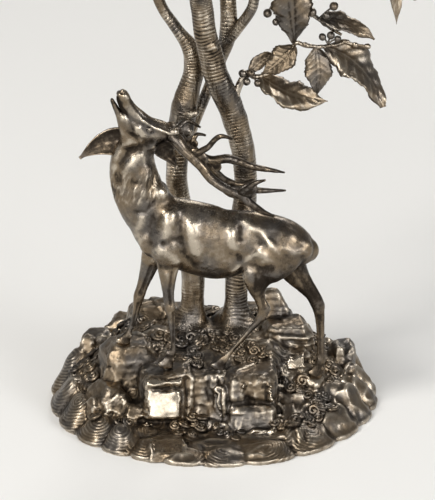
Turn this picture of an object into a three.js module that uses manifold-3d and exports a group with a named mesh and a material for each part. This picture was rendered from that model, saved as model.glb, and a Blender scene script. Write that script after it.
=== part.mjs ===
// A silver-plated table centerpiece: a bellowing stag on a rocky base, under a tree of two crossing
// trunks whose limbs carry a ring, with a glass bowl that lifts out of it.
// Millimetres, +Z up, -Y towards the viewer. The origin is on the table, in the middle of the object.
import * as THREE from 'three';
import { mergeVertices } from 'three/addons/utils/BufferGeometryUtils.js';
import Module from 'manifold-3d';

const wasm = await Module();
wasm.setup();

// Driving dimensions
const GAP = 0.3;
const BASE_RADIUS = 127;
const RIM_THICKNESS = 3.2;
const SHELL_WALL = 3.6;
const LEAF_THICKNESS = 1.1;
const STAG_MIDDLE = -42;
const RING_RADIUS = 60;
const RING_BOTTOM = 372;
const RING_HEIGHT = 11;
const RING_SEGMENTS = 30;
const BOWL_RIM_RADIUS = 112;
const BOWL_HEIGHT = 84;
const BOWL_WALL = 4;
const BOWL_LOBES = 10;
const CROWN_SPRAYS = 6;
const CROWN_REACH = 150;
const TREE_STUD_RADIUS = 3;
const TREE_SEAT = 43;
const HOOF_STUD_RADIUS = 1.4;

// Finishes
const SILVER = { color: 0x8f8678, roughness: 0.3, metalness: 1 };
const DARK_SILVER = { color: 0x6b6256, roughness: 0.38, metalness: 1 };
const STEEL = { color: 0x8a8a88, roughness: 0.45, metalness: 1 };
const GLASS = { color: 0xe8f0f0, roughness: 0.04, metalness: 0, transparent: true, opacity: 0.35 };

const vector = (point) => new THREE.Vector3(point[0], point[1], point[2]);
const radians = THREE.MathUtils.degToRad;
const UP = new THREE.Vector3(0, 0, 1);

// Solids

function toSolid(geometry) {
  const bare = geometry.clone();
  bare.deleteAttribute('normal');
  bare.deleteAttribute('uv');
  const merged = mergeVertices(bare, 1e-4);
  const mesh = new wasm.Mesh({
    numProp: 3,
    vertProperties: Float32Array.from(merged.attributes.position.array),
    triVerts: Uint32Array.from(merged.index.array),
  });
  return new wasm.Manifold(mesh);
}

function toGeometry(solid) {
  const mesh = solid.getMesh();
  const geometry = new THREE.BufferGeometry();
  geometry.setAttribute('position', new THREE.BufferAttribute(Float32Array.from(mesh.vertProperties), 3));
  geometry.setIndex(new THREE.BufferAttribute(Uint32Array.from(mesh.triVerts), 1));
  geometry.computeVertexNormals();
  return geometry;
}

const join = (...solids) => solids.reduce((sum, solid) => sum.add(solid));

// The largest body of a solid, without the slivers that a cut can leave
function mainBody(solid) {
  const bodies = solid.decompose();
  return bodies.reduce((best, body) => (body.volume() > best.volume() ? body : best));
}

// A closed skin over rings that all have the same number of points
function skin(rings) {
  const count = rings[0].length;
  const points = rings.flat();
  const middle = (ring) => ring.reduce((sum, p) => sum.add(p), new THREE.Vector3()).divideScalar(count);
  const first = points.push(middle(rings[0])) - 1;
  const last = points.push(middle(rings[rings.length - 1])) - 1;
  const faces = [];
  for (let r = 0; r < rings.length - 1; r++) {
    for (let i = 0; i < count; i++) {
      const a = r * count + i;
      const b = r * count + ((i + 1) % count);
      faces.push(a, b, b + count, a, b + count, a + count);
    }
  }
  const top = (rings.length - 1) * count;
  for (let i = 0; i < count; i++) {
    const next = (i + 1) % count;
    faces.push(first, next, i, last, top + i, top + next);
  }
  let volume = 0;
  for (let f = 0; f < faces.length; f += 3) {
    const [a, b, c] = [points[faces[f]], points[faces[f + 1]], points[faces[f + 2]]];
    volume += a.dot(new THREE.Vector3().crossVectors(b, c));
  }
  if (volume < 0) faces.reverse();
  const geometry = new THREE.BufferGeometry();
  geometry.setAttribute('position', new THREE.Float32BufferAttribute(points.flatMap((p) => p.toArray()), 3));
  geometry.setIndex(faces);
  return toSolid(geometry);
}

// A limb along a smooth curve. Each station is x, y, z and its half size across and in the bend's plane.
function limb(stations, { sides = 10, steps = 2, across = [0, 1, 0], grow = 0 } = {}) {
  const route = new THREE.CatmullRomCurve3(stations.map(vector));
  const sizes = new THREE.CatmullRomCurve3(
    stations.map(([, , , wide, deep = wide]) => new THREE.Vector3(wide, deep, 0)),
  );
  const spans = (stations.length - 1) * steps;
  const rings = [];
  for (let i = 0; i <= spans; i++) {
    const t = i / spans;
    const along = route.getTangent(t);
    const side = vector(across).addScaledVector(along, -along.dot(vector(across))).normalize();
    const rise = new THREE.Vector3().crossVectors(along, side);
    const overrun = i === 0 ? -grow : i === spans ? grow : 0;
    const centre = route.getPoint(t).addScaledVector(along, overrun);
    const size = sizes.getPoint(t);
    const ring = [];
    for (let k = 0; k < sides; k++) {
      const turn = (k / sides) * 2 * Math.PI;
      ring.push(
        centre
          .clone()
          .addScaledVector(side, (size.x + grow) * Math.cos(turn))
          .addScaledVector(rise, (size.y + grow) * Math.sin(turn)),
      );
    }
    rings.push(ring);
  }
  return skin(rings);
}

function upright(radius, low, high, x = 0, y = 0, sides = 16) {
  const geometry = new THREE.CylinderGeometry(radius, radius, high - low, sides);
  geometry.rotateX(Math.PI / 2);
  geometry.translate(x, y, (low + high) / 2);
  return toSolid(geometry);
}

function ball([x, y, z], radius) {
  const geometry = new THREE.SphereGeometry(radius, 5, 3);
  geometry.translate(x, y, z);
  return toSolid(geometry);
}

// A body turned round +Z from its radius and height pairs
function turned(profile, segments) {
  const geometry = new THREE.LatheGeometry(
    profile.map(([r, z]) => new THREE.Vector2(r, z)),
    segments,
  );
  geometry.rotateX(Math.PI / 2);
  return geometry;
}

const between = (low, high, value) => THREE.MathUtils.smoothstep(value, low, high);

// Height read off a list of distance and height pairs
function profileHeight(profile, reach) {
  for (let i = 1; i < profile.length; i++) {
    const [r0, z0] = profile[i - 1];
    const [r1, z1] = profile[i];
    if (reach <= r1) return THREE.MathUtils.lerp(z0, z1, between(r0, r1, reach));
  }
  return profile[profile.length - 1][1];
}

// Base: a rocky mound with a scalloped rim, cast hollow, with boulders on it

const SIDE_PROFILE = [[0, 58], [0.34, 55], [0.55, 45], [0.72, 32], [0.86, 18], [0.96, 7], [1, RIM_THICKNESS]];
const FRONT_PROFILE = [
  [0, 58], [0.34, 47], [0.46, 34], [0.56, 14], [0.68, 7.5], [0.88, 5], [1, RIM_THICKNESS],
];
const RIM_LOBES = 24;
const RIM_LOBE_DEPTH = 4.6;
const RIM_LUMP_HEIGHT = 7;
const HILL_HOOPS = [1, 0.95, 0.87, 0.77, 0.62, 0.44, 0.22];
const CAVITY_HOOPS = [1, 0.8, 0.55, 0.3];
const CAVITY_SINK = SHELL_WALL + 2;

// The rim's lobes: 0 in a notch and 1 on a lobe's crown
const rimLobe = (turn) => Math.abs(Math.sin((RIM_LOBES / 2) * turn + 0.9 * Math.sin(3 * turn)));

function rimRadius(turn) {
  return BASE_RADIUS - 0.8 - RIM_LOBE_DEPTH * (1 - Math.sqrt(rimLobe(turn))) + 0.8 * Math.sin(5 * turn + 1);
}

// Swells of the mound: x, y, radius, height
const SWELLS = [
  [-104, 26, 18, 8], [-106, -31, 18, 7], [-69, -89, 18, 5], [58, -88, 18, 5], [98, -40, 18, 8],
  [106, 34, 17, 7], [-92, 64, 17, 6], [-52, 98, 18, 5], [76, 84, 17, 6], [0, -32, 22, 4],
  [-62, 26, 24, 7], [56, 52, 24, 7], [-10, 96, 22, 7], [-50, -6, 26, 5], [-84, -12, 16, 7],
];

function moundHeight(x, y, swells) {
  const radius = Math.hypot(x, y);
  const turn = Math.atan2(y, x);
  const reach = radius / rimRadius(turn);
  const facing = Math.max(0, -Math.sin(turn)) ** 1.6;
  const plain = THREE.MathUtils.lerp(
    profileHeight(SIDE_PROFILE, reach),
    profileHeight(FRONT_PROFILE, reach),
    facing,
  );
  const edge = 1 - between(0.92, 1, reach);
  const chain = between(0.74, 0.88, reach) * (1 - between(0.93, 1, reach));
  let swell = RIM_LUMP_HEIGHT * (1 - 0.55 * facing) * rimLobe(turn) * chain;
  for (const [swellX, swellY, size, height] of swells) {
    const near = 1 - Math.hypot(x - swellX, y - swellY) / size;
    if (near > 0) swell += height * edge * between(0, 1, near);
  }
  return plain + swell;
}

// A hill on a polar grid, closed by a flat floor
function hill({ spokes, hoops, inset, sink, floor, swells }) {
  const rings = [];
  for (const share of hoops) {
    const ring = [];
    for (let s = 0; s < spokes; s++) {
      const turn = (s / spokes) * 2 * Math.PI;
      const radius = (rimRadius(turn) - inset) * share;
      const x = radius * Math.cos(turn);
      const y = radius * Math.sin(turn);
      ring.push(new THREE.Vector3(x, y, Math.max(moundHeight(x, y, swells) - sink, floor + 0.6)));
    }
    rings.push(ring);
  }
  const foot = rings[0].map((p) => new THREE.Vector3(p.x, p.y, floor));
  return skin([foot, ...rings]);
}

const BOULDER_CUT = 0.34;
const BOULDER_ROUGHNESS = 0.06;
const BOULDER_TILT = 1.1;

// A rough boulder: its foot, its shoulder and its top are eight-sided, with uneven corners
function boulder({ at, foot, top, high, bevel, turn = 0, lean = [0, 0], low = 1 }) {
  const ring = ([width, depth], z, shift) => {
    const [w, d] = [width / 2, depth / 2];
    const cut = BOULDER_CUT * Math.min(w, d);
    const corners = [
      [w - cut, -d], [w, cut - d], [w, d - cut], [w - cut, d],
      [cut - w, d], [-w, d - cut], [-w, cut - d], [cut - w, -d],
    ];
    return corners.map(([x, y], k) => {
      const uneven = 1 + BOULDER_ROUGHNESS * Math.sin(2.4 * k + at[0] + 1.7 * shift);
      const p = new THREE.Vector3(x * uneven + shift * lean[0], y * uneven + shift * lean[1], z);
      p.z += BOULDER_TILT * shift * Math.cos(1.9 * k + at[1]);
      return p.applyAxisAngle(UP, radians(turn)).add(vector([...at, 0]));
    });
  };
  const shoulder = [top[0] + 1.6 * bevel, top[1] + 1.6 * bevel];
  const share = (high - bevel - low) / (high - low);
  return skin([ring(foot, low, 0), ring(shoulder, high - bevel, share), ring(top, high, 1)]);
}

const BOULDERS = {
  ledgeLeft: { at: [-35, -47], foot: [42, 60], top: [35, 46], high: 48.2, bevel: 4, lean: [0, 4] },
  ledgeMiddle: { at: [-5, -42], foot: [38, 50], top: [28, 38], high: 46, bevel: 3, lean: [0, 2] },
  ledgeRight: { at: [27, -46], foot: [44, 58], top: [35, 44], high: 47.2, bevel: 4, lean: [0, 5], turn: 4 },
  ledgeRightToe: { at: [30, -70], foot: [38, 24], top: [26, 10], high: 25, bevel: 4, lean: [0, 3], turn: 4 },
  stepRight: { at: [70, -21], foot: [32, 54], top: [26, 38], high: 33.2, bevel: 3, lean: [0, 2], turn: -4 },
  stepRightUpper: { at: [60, -9], foot: [26, 36], top: [18, 24], high: 47, bevel: 3, turn: 8 },
  crevice: { at: [51, -30], foot: [22, 44], top: [12, 30], high: 31, bevel: 4 },
  hoofRock: { at: [-63, -24], foot: [48, 48], top: [26, 28], high: 58.6, bevel: 9, turn: 12, low: 16 },
  shellRock: { at: [-79, -48], foot: [38, 40], top: [10, 22], high: 34, bevel: 9, turn: 24, lean: [2, 0] },
  fillLeft: { at: [-58, -62], foot: [34, 36], top: [14, 16], high: 24, bevel: 6, turn: 30 },
  crestLeft: { at: [-88, 36], foot: [30, 36], top: [15, 18], high: 40, bevel: 6, turn: 18 },
  crestBack: { at: [-68, 66], foot: [38, 34], top: [16, 14], high: 42, bevel: 7, turn: -20 },
  layered: { at: [-47, 40], foot: [42, 34], top: [26, 18], high: 64, bevel: 7, turn: 8, low: 30 },
  blades: { at: [96, 20], foot: [32, 46], top: [10, 26], high: 37, bevel: 6, turn: -10, lean: [3, 0] },
  behind: { at: [56, 8], foot: [44, 44], top: [26, 24], high: 61, bevel: 7, turn: 10, low: 24 },
  backLeft: { at: [-26, 78], foot: [46, 32], top: [26, 14], high: 46, bevel: 7, turn: -8 },
  backRight: { at: [34, 68], foot: [48, 34], top: [28, 16], high: 50, bevel: 7, turn: 10 },
  slab: { at: [54, 25], foot: [42, 18], top: [9, 5], high: 80, bevel: 3, lean: [-9, 0], low: 30 },
};

// Tree: two trunks that cross, and the limbs that carry the ring

const TRUNK_LEFT = [
  [-15.3, 12, 51, 14.5], [-15.3, 12, 59, 11.8], [-15.3, 12, 67, 10], [-15.2, 12, 82, 9.2],
  [-15.2, 12, 101, 9.2], [-20.3, 12, 133, 8.8], [-26.2, 12, 165.5, 8.2], [-26.9, 12, 185.4, 8.2],
  [-24.5, 12, 209, 9.4], [-23, 12, 221, 9.8], [-20.7, 12, 234, 9.4],
  [-16.9, 13, 248, 8], [-13.9, 14, 258, 7.8], [-13.9, 14, 268, 7.6], [-17.6, 13, 278.7, 6.2],
  [-24.1, 12, 288, 4.7], [-30, 12, 296.6, 4.4], [-35.1, 12, 304, 4.2], [-39.4, 12, 313, 4.2],
  [-48, 10, 336, 4], [-58, 8, 356, 4], [-60, 8, RING_BOTTOM - 1, 4],
];
const TRUNK_RIGHT = [
  [16.5, 8, 51, 15.5], [16.8, 8, 59, 12.6], [17.2, 8, 68, 10.6], [17.6, 8, 78, 9.2], [17.5, 8, 94.4, 8.8],
  [21.9, 8, 139, 9], [24.8, 8, 167, 8.8], [22.5, 6, 199, 8.8], [14.2, 2, 232, 9.2], [6.8, -2, 250, 9.3],
  [1.6, -4, 263, 9.2], [-2, -6, 279, 8.8], [-5.6, -8, 296, 8.6], [-8.5, -9, 319, 8.4],
  [-11, -22, 338, 6.4], [-15, -43, 353, 4.8], [-16.5, -58, 364, 4.2], [-16.6, -59, RING_BOTTOM - 1, 4.2],
];
const BACK_LIMB = [
  [-25, 20, 192, 4.4], [-18.7, 24, 202.7, 4.5], [-12.6, 24, 218.5, 4.4], [-4.4, 25, 238.6, 4.3],
  [2.3, 25, 255.7, 4.5], [8.3, 24, 271.5, 5], [11.2, 23, 284, 6.6], [11.8, 22, 296, 6.6],
  [11, 24, 311, 6.2], [9, 34, 332, 5.4], [6, 50, 352, 4.6], [4, 60, 364, 4.2],
  [4, 60, RING_BOTTOM - 1, 4.2],
];
const SIDE_LIMB = [
  [10, 22, 279, 3.6], [12.5, 20, 281, 4], [18.6, 17, 290.5, 4.3], [24.4, 15, 298.8, 4.2],
  [28.8, 14, 306.7, 4.1], [30.4, 13, 314, 4], [33, 12, 328, 4], [41, 10, 346, 4], [56, 7, 361, 4],
  [60, 6, RING_BOTTOM - 1, 4],
];
const LOW_TWIG = [
  [10, 0, 241, 4.4], [15.5, 0, 244, 3.8], [18.6, 0, 249.6, 2.9], [22.2, 0, 257, 2.6], [26, 0, 260.4, 2.3],
  [31, -1, 258.6, 2], [38, -2, 260, 1.8], [46, -3, 265, 1.7], [56.5, -3, 278, 1.6], [61, -3, 285, 1.6],
  [67.4, -4, 283.6, 1.7], [77, -6, 283, 1.6], [89.3, -6, 284.2, 1.4], [96.5, -6, 286.2, 1.3],
  [104, -6, 284.4, 1.2], [113, -6, 283.4, 1],
];
const UPPER_TWIG = [
  [30, 13, 321, 2], [36, 10, 320.5, 2.2], [49, 4, 320, 2], [60, 1, 315.5, 1.8], [72.4, 0, 306, 1.6],
  [82, -2, 299, 1.4], [88, -3.5, 295, 1.3], [94, -4.5, 291.6, 1],
];
const TREE_STUDS = [[-15.3, 12], [16.6, 8]];

// Leaves and berries

const LEAF_STEPS = 8;
const CROWN_LEAF_STEPS = 5;

// Half width along a leaf, from stalk to tip, as a share of its widest
const leafOutline = (t) => Math.max(0.07, Math.sin(Math.PI * t ** 0.78) ** 0.85);

// A toothed leaf with a raised midrib, bent along a curve from its root to its tip
function leaf({ root, bend, tip, face, width, fold = 0.22, teeth = true, fine = true }, grow = 0) {
  const count = fine ? LEAF_STEPS : CROWN_LEAF_STEPS;
  const rib = new THREE.QuadraticBezierCurve3(vector(root), vector(bend), vector(tip));
  const thick = LEAF_THICKNESS / 2 + grow;
  const rings = [];
  for (let i = 0; i <= count; i++) {
    const t = i / count;
    const along = rib.getTangent(t);
    const across = new THREE.Vector3().crossVectors(vector(face), along).normalize();
    const up = new THREE.Vector3().crossVectors(along, across).normalize();
    const tooth = teeth ? 1 + (i % 2 ? 0.07 : -0.07) : 1;
    const half = (width / 2) * leafOutline(t) * tooth + grow;
    const lift = fold * half;
    const edge = [[half, lift], [-half, lift]];
    const upper = fine ? [[half / 2, lift / 2 + thick * 0.7]] : [];
    const lower = fine ? [[half / 2, lift / 2 - thick * 0.7]] : [];
    const mirror = (list) => list.map(([x, z]) => [-x, z]);
    const section = [
      edge[0], ...upper, [0, thick * 1.4], ...mirror(upper),
      edge[1], ...mirror(lower), [0, -thick], ...lower,
    ];
    rings.push(
      section.map(([x, z]) => rib.getPoint(t).addScaledVector(across, x).addScaledVector(up, z)),
    );
  }
  return skin(rings);
}

const LEAVES = {
  leaf_low: {
    root: [34.5, -1.5, 259.2], bend: [56, -17, 245], tip: [84, -21, 246],
    face: [0.25, -0.62, 0.74], width: 25,
  },
  leaf_curled: {
    root: [60, -3, 283.5], bend: [50, -10, 272], tip: [36, -8, 263],
    face: [-0.5, -0.8, 0.3], width: 19,
  },
  leaf_small: {
    root: [26.5, -0.3, 260.4], bend: [36, 3, 276], tip: [50, 5, 271.5],
    face: [0.4, -0.7, 0.5], width: 9,
  },
  leaf_hanging: {
    root: [75, -6, 282.5], bend: [79, -13, 266], tip: [76, -10, 247],
    face: [0.1, -1, -0.1], width: 19,
  },
  leaf_large: {
    root: [79, -6.2, 283.2], bend: [111, -12, 277], tip: [124, -20, 241],
    face: [0.35, -0.62, 0.7], width: 31,
  },
  leaf_upper: {
    root: [77.5, -1.1, 302.4], bend: [98, -6, 304], tip: [118, -6, 288.5],
    face: [0.15, -0.6, 0.78], width: 17,
  },
  leaf_rising: {
    root: [60.5, -3, 285.2], bend: [57, -15, 310], tip: [56, -12, 338],
    face: [0, -1, -0.15], width: 30,
  },
};

// A bunch of berries on short stalks that meet at one point of a twig. Each berry is x, y, z, radius.
function bunch(knot, berries) {
  const parts = berries.flatMap(([x, y, z, radius]) => [
    ball([x, y, z], radius),
    limb([[...knot, 0.9], [x, y, z, 0.8]], { sides: 4, steps: 1, across: [0.3, 1, 0.2] }),
  ]);
  return join(...parts);
}

const BUNCHES = {
  berries_stub: {
    knot: [27, -2, 260],
    berries: [[22, -4, 262, 3], [28, -5.5, 263, 3], [25, -5, 256, 2.8], [33, -5.5, 255, 2.8]],
  },
  berries_left: {
    knot: [47.5, 3.6, 318.6],
    berries: [[40, -1, 307, 3.3], [46, -3, 301, 2.7], [45, -2, 314, 2.9]],
  },
  berries_right: {
    knot: [77, -1.5, 302.5],
    berries: [[72, -6, 309, 3.6], [83, -7, 307, 3], [88, -4, 313, 3.3]],
  },
  berries_twig: {
    knot: [84, -7, 285.5],
    berries: [[80, -8, 291, 2.8], [86, -9, 292.5, 3], [91, -8, 289.5, 2.6]],
  },
};

// The crown's sprays. Heights are above the ring's underside.
const CROWN_TWIG = [[RING_RADIUS + 1, 0, 5, 2.4], [80, 1, 11, 2.2], [96, -1, 12, 1.9], [110, 0, 9, 1.4]];
const CROWN_LEAVES = [
  { root: [106, 0, 10], bend: [130, 0, 14], tip: [CROWN_REACH, 2, 5], width: 27 },
  { root: [95, 1, 12], bend: [108, 20, 17], tip: [122, 36, 1], width: 24 },
  { root: [90, -1, 12], bend: [104, -18, 17], tip: [120, -37, -1], width: 24 },
];
const CROWN_BERRIES = [[92, 3, 9, 3.2], [99, -3, 9, 3.2], [103, 3, 7.5, 3]];
const HANGING_TWIG = [[108, 0, 8, 1.5], [122, 3, -7, 1.4], [131, 4, -25, 1.2], [142, 2, -42, 1]];
const HANGING_LEAF = {
  root: [129, 4, -21], bend: [134, -1, -45], tip: [134, -2, -73], face: [0.4, -0.9, 0.1], width: 13,
};
const HANGING_BERRIES = [[143, 0, -48, 3], [147, -1, -52.5, 2.7], [142, 3, -44, 2.8]];

const raised = ([x, y, z, ...size]) => [x, y, z + RING_BOTTOM, ...size];
const raisedLeaf = (shape, droop = 0) => leaf({
  face: [0, 0, 1],
  fine: false,
  ...shape,
  root: raised(shape.root),
  bend: raised(shape.bend),
  tip: raised([shape.tip[0], shape.tip[1], shape.tip[2] - droop]),
});
const raisedBerries = (berries) => berries.map(raised).map(([x, y, z, radius]) => ball([x, y, z], radius));

// One spray of the crown: a twig from the ring with three leaves and three berries, facing +X
function crownSpray(droop) {
  const twig = limb(CROWN_TWIG.map(raised), { sides: 6, steps: 1 });
  const leaves = CROWN_LEAVES.map((shape) => raisedLeaf(shape, droop));
  return join(twig, ...raisedBerries(CROWN_BERRIES), ...leaves);
}

// The spray over the photographed side also hangs a leaf and three berries
function hangingTwig() {
  const twig = limb(HANGING_TWIG.map(raised), { sides: 5, steps: 1 });
  return join(twig, raisedLeaf(HANGING_LEAF), ...raisedBerries(HANGING_BERRIES));
}

// Stag

const TORSO = [
  [-57.5, 0, 147.5, 4, 6], [-51.5, 0, 150.5, 10, 17], [-40, 0, 153.6, 14, 25.4], [-26, 0, 151.6, 16.2, 27],
  [-10, 0, 147, 17.2, 28],
  [5, 0, 143.2, 17.6, 27.6], [20, 0, 145, 16.2, 24.4], [34, 0, 146, 15.2, 21.8], [48, 0, 144.6, 15.6, 19.4],
  [60, 0, 140.6, 14.4, 16.4], [69, 0, 137.4, 10.6, 11.6], [75.5, 0, 136, 4.6, 5.4],
];
const NECK = [
  [-36, 0, 156, 12, 19], [-45.5, 0, 168, 13, 20.6], [-53.2, 0, 181, 12.5, 19.4], [-57.3, 0, 195, 11.8, 18.2],
  [-58.2, -0.5, 207, 11.2, 16.8], [-55.5, -1, 217, 10.2, 14.6], [-50, -1, 224, 9, 12],
];

// Shoulder and haunch of one side, down to where the legs begin
const MUSCLES = [
  [
    [-27, -8, 175, 3, 6], [-32, -10.5, 162, 6.5, 12], [-34, -12, 147, 7.5, 13], [-32.5, -11.8, 133, 6, 9],
    [-32, -11.5, 124, 3, 4],
  ],
  [
    [46, -8, 163, 3, 9], [50, -9.5, 152, 7.5, 17], [47.5, -11, 139, 8.4, 18.5], [40, -11.5, 126, 6.8, 13],
    [35, -11.5, 118, 3, 6],
  ],
];
const LEGS = {
  foreleg_left: {
    hoof: [-34.6, -54],
    sole: 49.2,
    stations: [
      [-30, -49, 144, 4.5, 9.5], [-32.4, -52.5, 131, 5.6, 8.8], [-33, -54, 121, 4.8, 6.5],
      [-32.6, -54, 106, 3.6, 4.2], [-31.6, -54, 97, 3.9, 4.4], [-30.6, -54, 88, 2.7, 3],
      [-30, -54, 79, 2.3, 2.4], [-29.3, -54, 67, 2.2, 2.1], [-29.8, -54, 61.5, 2.9, 2.9],
      [-31.6, -54, 57.5, 2.7, 2.8], [-33.8, -54, 54, 3.5, 4.6], [-34.6, -54, 49.2, 4, 5.8],
    ],
  },
  foreleg_right: {
    hoof: [-66.8, -31],
    sole: 58.6,
    stations: [
      [-42, -35, 144, 4.5, 9.5], [-44.6, -32.5, 131, 5.6, 8.8], [-47.2, -31, 121, 4.9, 6.9],
      [-51.8, -31, 107, 3.7, 4.6], [-55, -31, 97, 3.9, 4.3], [-57, -31, 87, 2.9, 3],
      [-59, -31, 78, 2.4, 2.5], [-62.4, -31, 69.5, 2.3, 2.3], [-63.8, -31, 66, 2.9, 2.9],
      [-65.4, -31, 63.4, 3.2, 3.8], [-66.8, -31, 58.6, 3.9, 5.4],
    ],
  },
  hindleg_left: {
    hoof: [4.4, -53.5],
    sole: 48.2,
    stations: [
      [45, -47, 149, 5, 12], [38.5, -50.5, 134, 7, 15], [33.4, -53, 121, 6.3, 12.4],
      [32.6, -53.5, 112, 4.8, 7.4], [34.5, -53.5, 104, 3.7, 4.3], [37.6, -53.5, 95.5, 3.4, 4.6],
      [34.8, -53.5, 87.5, 2.9, 3.6], [28, -53.5, 79.5, 2.2, 2.5], [20, -53.5, 69.5, 2, 2.1],
      [12.6, -53.5, 60.5, 2, 2.1], [9.2, -53.5, 56.6, 2.7, 2.8], [6.6, -53.5, 53.6, 3.1, 3.8],
      [4.4, -53.5, 48.2, 3.9, 5.4],
    ],
  },
  hindleg_right: {
    hoof: [77.4, -33],
    sole: 33.2,
    stations: [
      [50, -38, 147, 5, 12], [54, -36, 132, 7, 14.4], [60, -33, 118.5, 6.2, 10.8],
      [67, -33, 108.5, 5, 7.6], [73.6, -33, 100, 3.9, 5.7], [78, -33, 91.5, 3.6, 5.3],
      [79.6, -33, 83, 3, 4.1], [80.4, -33, 73, 2.6, 3.4], [81, -33, 56, 2.5, 3.3],
      [81, -33, 46, 2.9, 3.9], [79.6, -33, 41.4, 2.7, 3.6], [78.4, -33, 38, 3.4, 4.8],
      [77.4, -33, 33.2, 4, 6],
    ],
  },
};
const TAIL = [
  [68, 0, 146, 2.6, 3], [74, 0, 143.5, 3.2, 3], [78, 0, 137.5, 3, 2.6], [77, 0, 131, 1.6, 1.4],
  [75.5, 0, 127.5, 0.5, 0.5],
];

// Head, in its own frame: +X to the nose, +Z to the forehead, +Y to the animal's left
const POLL = [-33, STAG_MIDDLE - 1, 226];
const NOSE_WAY = [-33, -15, 37];
const FOREHEAD_WAY = [0.728, 0, 0.685];
const SKULL = [
  [-6, 0, -4.5, 4, 5], [-1, 0, -4.6, 7.2, 10.6], [6, 0, -5.4, 9, 13.4], [13, 0, -6.4, 9.2, 12.4],
  [20, 0, -6.2, 8.4, 9.8], [28, 0, -4.7, 6.6, 7.4], [36, 0, -3.3, 5.4, 5.3], [44, 0, -1.9, 4.7, 4.6],
  [50, 0, 0.6, 4.8, 4.2], [54.4, 0, 1.6, 2.6, 2.4],
];
const JAW = [
  [4, 0, -17.5, 4.6, 5], [12, 0, -20.5, 6.2, 7.4], [19, 0, -20.2, 6, 7], [26, 0, -17.6, 5.4, 5],
  [34, 0, -14, 4.5, 3.6], [42, 0, -10.6, 3.7, 2.4], [49, 0, -7.6, 3, 1.6], [53.4, 0, -6.1, 1.8, 0.9],
];
const EARS = {
  ear_left: {
    root: [-39.5, -51, 223], bend: [-35, -66, 224], tip: [-25, -77, 214],
    face: [0.5, -0.4, -0.75], width: 15,
  },
  ear_right: {
    root: [-57, -35, 223], bend: [-80, -30, 229], tip: [-99.5, -38, 210],
    face: [-0.2, -0.75, -0.6], width: 22,
  },
};
const ANTLERS = {
  antler_left: [
    [
      [-31, -47, 229, 2.4], [-26, -49, 225.5, 3], [-21, -51, 219.5, 2.6], [-15, -53, 214, 2.3],
      [-8, -54, 207, 2.2], [-1, -55, 198, 2.1], [10, -57, 191, 2.1], [20, -58, 187, 2.1],
      [27, -59, 181, 1.8], [36, -61, 175, 1.3], [45, -62, 171.5, 0.5],
    ],
    [
      [-15, -53, 214, 1.5], [-8, -54, 219, 1.5], [-3, -56, 223, 1.3], [2, -57, 229, 1.2],
      [7, -59, 232, 1], [15, -60, 230, 0.4],
    ],
    [[12, -57, 190, 1.7], [27, -57, 190, 1.5], [40, -55, 189, 1.1], [53, -52, 188, 0.4]],
    [[18, -58, 188, 1.7], [25, -62, 193, 1.4], [31, -64, 198, 1.1], [38, -66, 201, 0.4]],
  ],
  antler_right: [
    [
      [-31, -40, 229, 2.4], [-26, -40.5, 225, 3], [-21, -40, 220, 2.5], [-16, -38, 216, 2.2],
      [-9, -36, 209, 2.1], [-1, -34, 205, 2], [10, -32, 205.5, 2], [18, -30, 203, 1.9],
      [29, -28, 198, 1.5], [41, -26, 195, 1.1], [53, -24, 192, 0.4],
    ],
    [[-27, -40, 226, 1.6], [-24, -37, 232, 1.4], [-18, -33, 235, 1.1], [-9, -30, 229, 0.4]],
    [[-17, -39, 217, 1.4], [-14, -39, 223, 1.2], [-11, -37, 226, 0.9], [-5, -36, 225, 0.4]],
    [[-6, -35, 207, 1.7], [2, -33, 196, 1.6], [10, -30, 188, 1.5], [20, -27, 184, 1.2], [31, -24, 187, 0.4]],
  ],
};

const onMiddle = (stations) => stations.map(([x, y, z, ...size]) => [x, y + STAG_MIDDLE, z, ...size]);

function head(grow = 0) {
  const nose = vector(NOSE_WAY).normalize();
  const forehead = vector(FOREHEAD_WAY).addScaledVector(nose, -nose.dot(vector(FOREHEAD_WAY))).normalize();
  const left = new THREE.Vector3().crossVectors(forehead, nose);
  const frame = new THREE.Matrix4().makeBasis(nose, left, forehead).setPosition(vector(POLL));
  const solid = join(limb(SKULL, { sides: 10, steps: 1, grow }), limb(JAW, { sides: 6, steps: 1, grow }));
  return toSolid(toGeometry(solid).applyMatrix4(frame));
}

const mirrored = (stations) => stations.map(([x, y, z, ...size]) => [x, -y, z, ...size]);

const body = (grow = 0) => join(
  limb(onMiddle(TORSO), { sides: 12, steps: 1, grow }),
  limb(onMiddle(NECK), { sides: 10, steps: 1, grow }),
  ...MUSCLES.flatMap((mass) => [mass, mirrored(mass)]).map(
    (mass) => limb(onMiddle(mass), { sides: 7, steps: 1, grow }),
  ),
);

const antler = (tines) => join(...tines.map((stations) => limb(stations, { sides: 5, steps: 1 })));

// Ring and bowl

function bowlRing() {
  const inner = RING_RADIUS - 4;
  const top = RING_BOTTOM + RING_HEIGHT;
  const profile = [
    [inner, RING_BOTTOM], [RING_RADIUS + 2.5, RING_BOTTOM], [RING_RADIUS + 3, RING_BOTTOM + 5],
    [RING_RADIUS + 5, top - 3], [RING_RADIUS + 4, top], [RING_RADIUS + 1.5, top], [inner, top - 6],
    [inner, RING_BOTTOM],
  ];
  return toSolid(turned(profile, RING_SEGMENTS));
}

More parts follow.
